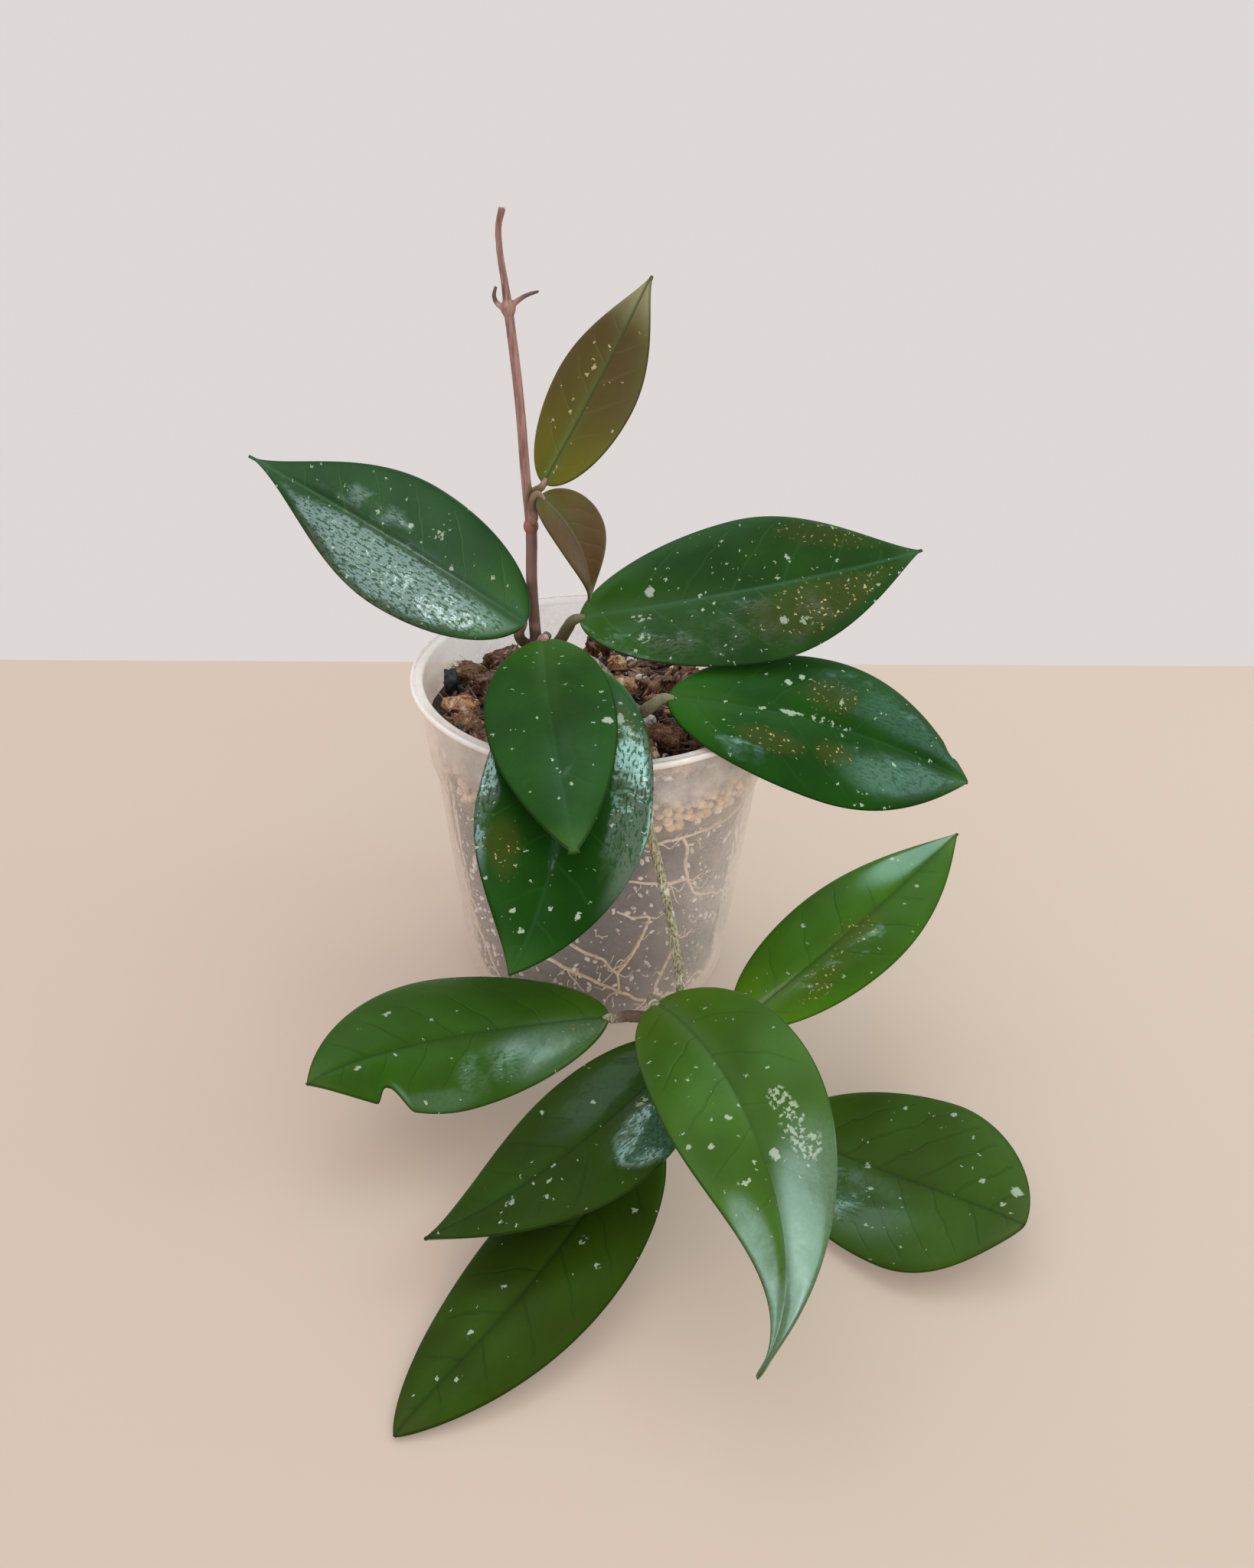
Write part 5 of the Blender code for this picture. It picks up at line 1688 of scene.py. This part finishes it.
@dataclass(frozen=True)
class PottingMix:
    """The bark mix: a rough body, the chunks and crumbs on top of it, and what shows through the wall."""

    pot: Pot
    height: float = 94.0
    fall_back: float = 0.07
    fall_right: float = 0.05
    clearance: float = 0.9
    band_room: float = 3.4
    root_room: float = 2.2
    seed: int = 5
    splinters: int = 420
    fibres: int = 260
    grains: int = 110
    lumps: int = 46
    band_pebbles: int = 900
    band_chips: int = 45
    wall_grains: int = 1050
    wall_chips: int = 260

    bumps = ((13.0, 1.3, 0.5), (6.0, 0.65, 6.5), (2.4, 0.5, 3.1))
    strands = {"husk": (Crumb.FIBRE, 130, 0.22, 3.4), "bark": (Crumb.SPLINTER, 34, 0.55, 2.4)}
    rings = 22
    sides = 120
    side_steps = 24
    bottom_gap = 0.3
    band_top = 89.0
    dent_depth = 0.9
    band_slope = 0.12
    band_heights = (4.0, 13.5)
    wall_heights = (4.0, 77.0)
    packing = 0.82
    pebble_side = (-50, 32)
    pebble_rises = (1.6, 12.5, 2.5)
    pebble_sizes = (1.2, 2.1)
    chip_sizes = (1.0, 2.4)
    grain_sizes = (0.18, 1.0, 0.3)
    strand_widths = (0.16, 0.3)
    splinter_sizes = ((0.6, 1.6), (0.3, 0.8), (1.8, 5.2))
    fibre_widths = (0.12, 0.3)
    fibre_lengths = (2.5, 6.5)

    def top(self, x: float, y: float, layers: int = 2) -> float:
        """The height of the mix at a place in the pot.

        Args:
            x: the place's way to the right.
            y: its way to the back.
            layers: how many of the bumps it has, from the widest.

        Returns:
            The height.
        """
        height = self.height - self.fall_back * y - self.fall_right * x
        for width, rise, layer in self.bumps[:layers]:
            height += rise * noise.noise(Vector((x / width, y / width, layer)))
        return height

    def body(self) -> bpy.types.Object:
        """Turns the body and roughens its top and its side.

        Returns:
            The dressed piece.
        """
        pot = self.pot
        out, up = pot.ledge[-1]
        bottom, wall = pot.floor + self.bottom_gap, pot.shoulder_radius - pot.wall
        low, high = (pot.inside(height) - self.root_room for height in (pot.floor, pot.step_height))
        side = [(0, bottom), (low * 0.5, bottom), (low, bottom)]
        for step in range(1, self.side_steps + 1):
            share = step / self.side_steps
            side.append((low + (high - low) * share, pot.floor + (pot.step_height - pot.floor) * share))
        side.append((pot.step_radius + out - pot.wall - self.band_room, pot.step_height + up))
        side.append((wall - self.band_room, self.band_top))
        edge = wall - self.clearance
        top = [(edge * ring / self.rings, self.height) for ring in range(self.rings, -1, -1)]
        shape = spun(side + top, self.sides)
        for corner in shape.verts:
            x, y, z = corner.co
            if z > self.height - 1:
                corner.co.z = self.top(x, y, 3)
            elif z > pot.floor + 1:
                dent = 0.5 + 0.5 * noise.noise(corner.co / 4.0) + 0.3 * noise.noise(corner.co / 1.7)
                shrink = 1 - self.dent_depth * max(dent, 0.0) / Vector((x, y)).length
                corner.co.x, corner.co.y = x * shrink, y * shrink
        piece = object_of("mix_body", shape, Matter.MIX.value.material("moist_mix"))
        return dress(piece, "potting_mix", "potting_mix")

    def spot(self, draw: random.Random, reach: float = 53.0) -> tuple[float, float]:
        """A random place on top."""
        place = round_axis(draw.uniform(0, math.tau), reach * math.sqrt(draw.random()), 0.0)
        return place.x, place.y

    def crumbs_on_top(self) -> None:
        """Scatters splinters, fibres, grains and lumps over the top."""
        draw = random.Random(self.seed)
        splinters = Heap("bark_splinters", "bark", Matter.BARK)
        fibres = Heap("husk_fibres", "husk", Matter.HUSK)
        white = Heap("perlite_crumbs", "perlite", Matter.PERLITE)
        tan = Heap("pumice_crumbs", "pumice", Matter.PUMICE)
        black = Heap("charcoal_crumbs", "charcoal", Matter.CHARCOAL, flat=True)
        shapes = {kind: kind.templates() for kind in Crumb}
        for _ in range(self.splinters):
            x, y = self.spot(draw)
            size = tuple(draw.uniform(*span) for span in self.splinter_sizes)
            lean = math.radians(90 + draw.gauss(0, 14))
            place = (x * 0.93, y * 0.93, self.top(x, y) + draw.uniform(0.1, 1.6))
            turn = turned_matrix(place, size, draw.uniform(0, math.tau), lean, draw.uniform(0, math.pi))
            splinters.add(draw.choice(shapes[Crumb.SPLINTER]), turn, draw.random())
        for _ in range(self.fibres):
            x, y = self.spot(draw, 50.0)
            wide = draw.uniform(*self.fibre_widths)
            lean = math.radians(90 + draw.gauss(0, 20))
            place = (x, y, self.top(x, y) + draw.uniform(0.6, 2.6))
            size = (wide, wide, draw.uniform(*self.fibre_lengths))
            turn = turned_matrix(place, size, draw.uniform(0, math.tau), lean)
            fibres.add(draw.choice(shapes[Crumb.FIBRE]), turn, draw.random())
        for heap, count, least, most, kind in (
            (white, self.grains, 0.5, 1.5, Crumb.GRAIN),
            (tan, self.lumps, 0.9, 2.4, Crumb.PEBBLE),
            (black, self.lumps, 1.0, 2.6, Crumb.GRAIN),
        ):
            for _ in range(count):
                x, y = self.spot(draw)
                size = draw.uniform(least, most)
                place = (x * 0.95, y * 0.95, self.top(x, y) + 0.5 * size)
                sides = (size, size * draw.uniform(0.7, 1), size * draw.uniform(0.6, 0.9))
                turn = turned_matrix(place, sides, draw.uniform(0, math.tau), draw.uniform(0, 1))
                heap.add(draw.choice(shapes[kind]), turn, draw.random())
        for heap in (splinters, fibres, white, tan, black):
            heap.build()

    def band_wall(self, rise: float) -> float:
        """The inner wall's radius at a height above the step."""
        return self.pot.step_radius + self.band_slope * rise - self.pot.wall

    def laid(self, place: Vector, angle: float, tip: float, size: Point) -> Matrix:
        """Lays a flat piece against the wall.

        Args:
            place: its middle.
            angle: where it is round Z, in radians.
            tip: its turn on the wall.
            size: half its size outwards, along the wall and upwards.

        Returns:
            The matrix.
        """
        turn = Matrix.Translation(place) @ Matrix.Rotation(angle, 4, "Z") @ Matrix.Rotation(tip, 4, "X")
        return turn @ Matrix.Diagonal((*size, 1))

    def crumbs_at_wall(self) -> None:
        """Packs pebbles into the band above the step, and grains and chips against the wall below it."""
        pot, draw = self.pot, random.Random(self.seed + 1)
        band = Heap("band_pebbles", "pumice", Matter.PEBBLE)
        husk = Heap("band_husk", "husk", Matter.HUSK)
        white = Heap("wall_grains", "perlite", Matter.PERLITE)
        chips = Heap("wall_chips", "root", Matter.ROOT)
        pebbles, slivers = Crumb.PEBBLE.templates(), Crumb.SPLINTER.templates()
        packed: list[tuple[float, float, float]] = []
        for index in range(self.band_pebbles):
            angle = math.radians(draw.gauss(*self.pebble_side) if index % 6 else draw.uniform(0, 360))
            rise, size = draw.triangular(*self.pebble_rises), draw.uniform(*self.pebble_sizes)
            along = angle * pot.step_radius
            if any(math.hypot(along - x, rise - z) < self.packing * (size + other) for x, z, other in packed):
                continue
            packed.append((along, rise, size))
            place = round_axis(angle, self.band_wall(rise) + 0.9 - size, pot.step_height + rise)
            sides = (size, size * draw.uniform(0.75, 1), size * draw.uniform(0.7, 1))
            turn = turned_matrix(place, sides, draw.uniform(0, math.tau), 0.0)
            band.add(draw.choice(pebbles), turn, draw.random())
        for _ in range(self.band_chips):
            angle, rise = draw.uniform(0, math.tau), draw.uniform(*self.band_heights)
            size = draw.uniform(*self.chip_sizes)
            place = round_axis(angle, self.band_wall(rise) + 0.6 - size, pot.step_height + rise)
            tip, long = draw.uniform(0, math.pi), size * draw.uniform(1.2, 2.4)
            turn = self.laid(place, angle, tip, (size * 0.5, size, long))
            husk.add(draw.choice(slivers), turn, draw.random())
        for heap, count, shapes, seat, thin, least, most in (
            (white, self.wall_grains, Crumb.GRAIN.templates(), 1.0, 0.8, 0.8, 2.3),
            (chips, self.wall_chips, Crumb.FIBRE.templates(), 3.2, 0.35, 4.0, 9.0),
        ):
            for _ in range(count):
                angle, height = draw.uniform(0, math.tau), draw.uniform(*self.wall_heights)
                grain = heap is white
                size = draw.triangular(*self.grain_sizes) if grain else draw.uniform(*self.strand_widths)
                place = round_axis(angle, pot.inside(height) - 0.25 - seat * size, height)
                tip, long = draw.uniform(0, math.pi), size * draw.uniform(least, most)
                turn = self.laid(place, angle, tip, (size * thin, size, long))
                heap.add(draw.choice(shapes), turn, draw.random())
        for heap in (band, husk, white, chips):
            heap.build()

    def chunks(self, nodes: dict[str, bpy.types.Object]) -> None:
        """Gives every large chunk a rough skin over its CAD solid's form.

        Args:
            nodes: the CAD nodes by name.
        """
        skins = {
            "bark": (Matter.BARK, 0.9, (0.5, 0.5, 0.18)),
            "husk": (Matter.HUSK, 0.8, (0.7, 0.7, 0.16)),
            "charcoal": (Matter.CHARCOAL, 1.8, (0.3, 0.3, 0.22)),
            "pumice": (Matter.PUMICE, 0.7, (0.45, 0.45, 0.45)),
            "perlite": (Matter.PERLITE, 0.4, (0.6, 0.6, 0.6)),
        }
        for name in sorted(nodes):
            kind = name.split("_")[0]
            if kind not in skins:
                continue
            matter, rough, wave = skins[kind]
            heap = Heap("chunk_" + name, kind, matter)
            shape = in_millimetres(nodes[name].data)
            bmesh.ops.remove_doubles(shape, verts=shape.verts, dist=0.01)
            bmesh.ops.subdivide_edges(shape, edges=shape.edges, cuts=3, use_grid_fill=True)
            shape.normal_update()
            for corner in shape.verts:
                spot = Vector([part * scale for part, scale in zip(corner.co, wave)])
                rise = noise.noise(spot * 2.0) + 0.5 * noise.noise(spot * 5.0)
                corner.co += corner.normal * rough * 0.5 * rise
            heap.add(mesh_of("chunk", shape.copy()), Matrix.Identity(4), 0.5)
            if kind in self.strands:
                self.fray(heap, shape, *self.strands[kind])
            shape.free()
            heap.build(name)

    def fray(
        self, heap: Heap, shape: bmesh.types.BMesh, crumb: Crumb, count: int, wide: float, long: float
    ) -> None:
        """Lays loose strands or flakes over a chunk, along its length.

        Args:
            heap: the chunk's own heap.
            shape: the chunk.
            crumb: the shape of one strand.
            count: how many there are.
            wide: the widest one's half width.
            long: the longest one's half length.
        """
        draw = random.Random(len(shape.verts))
        shape.faces.ensure_lookup_table()
        middle = sum((corner.co for corner in shape.verts), Vector()) / len(shape.verts)
        far = max(shape.verts, key=lambda corner: (corner.co - middle).length)
        along = (far.co - middle).normalized()
        templates = crumb.templates()
        for _ in range(count):
            face = draw.choice(shape.faces)
            turn = (along + Vector([draw.gauss(0, 0.22) for _ in range(3)])).to_track_quat("Z", "Y")
            size = (draw.uniform(0.4, 1) * wide, draw.uniform(0.4, 1) * wide, draw.uniform(0.4, 1) * long)
            place = Matrix.Translation(face.calc_center_median() + 0.5 * wide * face.normal)
            strand = place @ turn.to_matrix().to_4x4() @ Matrix.Diagonal((*size, 1))
            heap.add(draw.choice(templates), strand, draw.uniform(0.4, 1.0))

    def build(self, nodes: dict[str, bpy.types.Object]) -> None:
        """Makes the body, the chunks and the crumbs.

        Args:
            nodes: the CAD nodes by name.
        """
        self.body()
        self.chunks(nodes)
        self.crumbs_on_top()
        self.crumbs_at_wall()


@dataclass(frozen=True)
class RootWeb:
    """Roots that run between the wall and the mix: degrees round from the front, and height."""

    node: str
    runs: tuple[tuple[tuple[float, float], ...], ...]
    pot: Pot
    seed: int = 0
    radius: float = 0.65
    rootlets: int = 14

    cad_sides = 48
    seat = 0.3
    turn = 7.0
    thinning = 0.55
    rootlet_size = (0.45, 0.2)
    rootlet_turns = (1.5, 4.5)
    rootlet_rises = (-6, 3)
    lowest, highest = 4.0, 78.0

    def on_wall(self, angle: float, height: float, radius: float) -> Vector:
        """Finds where a root lies against the inside of the wall.

        Args:
            angle: degrees round from the front.
            height: its height.
            radius: the root's radius.

        Returns:
            The root's middle.
        """
        away = self.pot.inside(height) * math.cos(math.pi / self.cad_sides) - self.seat - radius
        turn = math.radians(angle)
        return Vector((away * math.sin(turn), -away * math.cos(turn), height))

    def thread(self, run: list[tuple[float, float]], first: float, last: float) -> bpy.types.Mesh:
        """One root that thins along its way.

        Args:
            run: its angles and heights.
            first: its radius where it starts.
            last: its radius at its end.

        Returns:
            The root's mesh.
        """
        steps: list[tuple[float, float]] = [run[0]]
        for (angle, height), (next_angle, next_height) in zip(run, run[1:]):
            count = max(2, math.ceil(abs(next_angle - angle) / self.turn * 2))
            for step in range(1, count + 1):
                share = step / count
                steps.append((angle + (next_angle - angle) * share, height + (next_height - height) * share))
        points, radii = [], []
        for index, (angle, height) in enumerate(steps):
            radius = first + (last - first) * index / (len(steps) - 1)
            wobble = noise.noise(Vector((angle * 0.6, height * 0.25, self.seed)))
            points.append(self.on_wall(angle + 0.8 * wobble, height + 0.8 * wobble, radius))
            radii.append(radius * (1 + 0.2 * noise.noise(Vector((angle, height, 4.0)))))
        return tube(points, radii, sides=2, steps=3)

    def build(self) -> bpy.types.Object:
        """Makes the roots and the fine rootlets that leave them.

        Returns:
            The dressed piece.
        """
        draw, shape = random.Random(self.seed), bmesh.new()
        threads = [self.thread(list(run), self.radius, self.radius * self.thinning) for run in self.runs]
        for _ in range(self.rootlets):
            angle, height = draw.choice(draw.choice(self.runs))
            run, lean = [(angle, height)], draw.choice((-1, 1))
            for _ in range(3):
                angle += lean * draw.uniform(*self.rootlet_turns)
                height = min(max(height + draw.uniform(*self.rootlet_rises), self.lowest), self.highest)
                run.append((angle, height))
            threads.append(self.thread(run, *(self.radius * share for share in self.rootlet_size)))
        for thread in threads:
            shape.from_mesh(thread)
            bpy.data.meshes.remove(thread)
        piece = object_of("fine_" + self.node, shape, Matter.ROOT.value.material(self.node + "_skin"))
        return dress(piece, "root", self.node)


FRONT_LOW_ROOTS = (
    ((-22, 28), (-12, 25), (-4, 22), (5, 17), (12, 14), (19, 9), (24, 7), (30, 7), (40, 5), (52, 9)),
    ((30, 7), (28, 12), (32, 23), (36, 33)),
    ((-14, 38), (-4, 33), (5, 29), (10, 22), (12, 14)),
    ((10, 22), (14, 27), (16, 30), (20, 39), (22, 46), (15, 47), (9, 50)),
)
FRONT_HIGH_ROOTS = (
    ((-26, 76), (-8, 76), (10, 76), (23, 76), (32, 76), (45, 75), (56, 74), (70, 75)),
    ((32, 76), (35, 70), (35, 64), (37, 57), (42, 49), (52, 45), (64, 39)),
    ((37, 57), (25, 59), (18, 61), (12, 63)),
)
WANDERING_ROOTS = {
    "roots_left": (5, -84),
    "roots_back_left": (11, -150),
    "roots_back": (3, 160),
    "roots_right": (8, 96),
}


def wandering_runs(seed: int, angle: float) -> tuple[tuple[tuple[float, float], ...], ...]:
    """A main root that winds down the wall, and three side roots that leave it.

    Args:
        seed: the seed of its random turns, as in the CAD.
        angle: degrees round from the front where it starts.

    Returns:
        The runs' angles and heights.
    """
    draw = random.Random(seed)
    height = 72.0
    main = [(angle, height)]
    for _ in range(7):
        angle += draw.uniform(2, 7)
        height -= draw.uniform(6, 11)
        main.append((angle, height))
    runs = [tuple(main)]
    for branch in range(3):
        angle, height = main[1 + 2 * branch]
        lean = draw.choice((-1, 1))
        run = [(angle, height)]
        for _ in range(3):
            angle += lean * draw.uniform(4, 7)
            height = max(height - draw.uniform(-1, 5), 6.0)
            run.append((angle, height))
        runs.append(tuple(run))
    return tuple(runs)


class Part(Enum):
    """What a light does: it brightens things, it is seen mirrored in what shines, or both."""

    BRIGHTENS = (True, False)
    MIRRORED = (False, True)
    BOTH = (True, True)


@dataclass(frozen=True)
class SoftLight:
    """A large soft light: where it stands from the plant's middle, its size and how bright its face is."""

    name: str
    azimuth: float
    elevation: float
    distance: float
    width: float
    height: float
    radiance: float
    colour: Colour = (0.84, 0.93, 1.0)
    part: Part = Part.BOTH

    def build(self, target: Vector) -> None:
        """Places the light so that it faces the plant.

        Args:
            target: the plant's middle, in metres.
        """
        lamp = bpy.data.lights.new(self.name, "AREA")
        lamp.shape = "RECTANGLE"
        lamp.size, lamp.size_y = self.width, self.height
        lamp.energy = self.radiance * math.pi * self.width * self.height
        lamp.color = self.colour
        turn, rise = math.radians(self.azimuth), math.radians(self.elevation)
        away = Vector((math.sin(turn) * math.cos(rise), math.cos(turn) * math.cos(rise), math.sin(rise)))
        item = placed(self.name, lamp)
        item.location = target + away * self.distance
        item.rotation_euler = away.to_track_quat("Z", "Y").to_euler()
        item.visible_diffuse, item.visible_glossy = self.part.value


@dataclass(frozen=True)
class Studio:
    """The plain pale floor, the soft light and the camera at the photograph's angle. Sizes in metres."""

    eye: Point = (0.0098, -0.359, 0.295)
    tilt: float = 32.4
    roll: float = 1.6
    focal_share: float = 1640 / 2048
    sensor: float = 36.0
    floor_back: float = 0.222
    floor_reach: float = 2.0
    floor_slant: float = 0.05
    floor_cloud: float = 0.94
    floor_tint: Colour = (0.45, 0.356, 0.295)
    floor_glow: Colour = (0.185, 0.152, 0.127)
    wall_tint: Colour = (0.73, 0.685, 0.67)
    room_light: float = 0.89
    middle: Point = (0.01, -0.05, 0.08)

    lights = (
        SoftLight("window_behind", -12, 62, 1.1, 1.3, 0.6, 3.2, (0.62, 0.96, 0.98), Part.MIRRORED),
        SoftLight("ceiling", -12, 62, 1.1, 1.2, 0.55, 2.0, (0.90, 0.96, 1.0), Part.BRIGHTENS),
        SoftLight("window_pane", -134, 37, 0.95, 0.13, 0.13, 9.0, (0.85, 0.97, 1.0), Part.MIRRORED),
        SoftLight("window_left", -127, 42, 0.95, 0.68, 0.72, 3.3, (0.60, 0.90, 1.0), Part.MIRRORED),
        SoftLight("window_corner", 27, 54, 1.1, 0.5, 0.42, 2.1, (0.36, 0.86, 0.90), Part.MIRRORED),
        SoftLight("window_right", 80, 40, 0.95, 0.35, 0.45, 3.3, (0.42, 0.92, 0.86)),
        SoftLight("room_front", 152, 16, 1.7, 0.95, 0.75, 3.6, (1.0, 0.93, 0.86), Part.BRIGHTENS),
    )

    def camera(self) -> None:
        """Makes the camera and sets it as the scene's own."""
        lens = bpy.data.cameras.new("camera")
        lens.sensor_width = self.sensor
        lens.sensor_fit = "AUTO"
        lens.lens = self.focal_share * self.sensor
        lens.clip_start = 0.01
        tilt = Matrix.Rotation(math.radians(90 - self.tilt), 4, "X")
        roll = Matrix.Rotation(math.radians(self.roll), 4, "Z")
        item = placed("camera", lens)
        item.matrix_world = Matrix.Translation(self.eye) @ tilt @ roll
        bpy.context.scene.camera = item

    def floor(self) -> None:
        """Lays the floor, which ends where the wall behind the photographed plant begins."""
        shape = bmesh.new()
        bmesh.ops.create_grid(shape, x_segments=1, y_segments=1, size=1)
        for corner in shape.verts:
            corner.co.x *= self.floor_reach
            back = self.floor_back + self.floor_slant * corner.co.x
            corner.co.y = back if corner.co.y > 0 else -self.floor_reach
        mesh = mesh_of("floor", shape)
        recipe = Recipe("pale_floor")
        cloud = recipe.grain(recipe.place(), 3.0, 3.0)
        darker = tuple(part * self.floor_cloud for part in self.floor_tint)
        tint = recipe.blend(cloud, self.floor_tint, darker)
        glow = {"emission_color": self.floor_glow, "emission_strength": 1.0}
        mesh.materials.append(recipe.finish(base_color=tint, roughness=0.62, specular_ior_level=0.25, **glow))
        placed("floor", mesh)

    def world(self) -> None:
        """Shows the pale wall to the camera, and lights the plant with a dimmer room."""
        world = bpy.data.worlds.new("room")
        world.use_nodes = True
        tree = world.node_tree
        tree.nodes.clear()
        kinds = ("LightPath", "MixShader", "OutputWorld")
        path, mix, out = (tree.nodes.new("ShaderNode" + kind) for kind in kinds)
        tree.links.new(path.outputs["Is Camera Ray"], mix.inputs[0])
        for socket, strength in ((mix.inputs[1], self.room_light / self.wall_tint[0]), (mix.inputs[2], 1.0)):
            light = tree.nodes.new("ShaderNodeBackground")
            light.inputs["Color"].default_value = (*self.wall_tint, 1.0)
            light.inputs["Strength"].default_value = strength
            tree.links.new(light.outputs[0], socket)
        tree.links.new(mix.outputs[0], out.inputs["Surface"])
        bpy.context.scene.world = world

    def build(self) -> None:
        """Sets up everything around the plant."""
        self.camera()
        self.floor()
        self.world()
        for light in self.lights:
            light.build(Vector(self.middle))
        bpy.context.scene.view_settings.view_transform = "Standard"


def main() -> None:
    """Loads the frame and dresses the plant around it."""
    logging.basicConfig(level=logging.INFO, format="%(name)s: %(message)s")
    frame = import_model()
    Studio().build()
    for leaf in LEAVES:
        leaf.build()
    MAIN_STEM.build()
    TRAILING_VINE.build()
    pot = Pot()
    pot.build()
    PottingMix(pot).build(frame["nodes"])
    RootWeb("roots_front_low", FRONT_LOW_ROOTS, pot, 21, rootlets=16).build()
    RootWeb("roots_front_high", FRONT_HIGH_ROOTS, pot, 22, rootlets=10).build()
    for node, (seed, angle) in WANDERING_ROOTS.items():
        RootWeb(node, wandering_runs(seed, angle), pot, seed).build()
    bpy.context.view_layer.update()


if __name__ == "__main__":
    main()
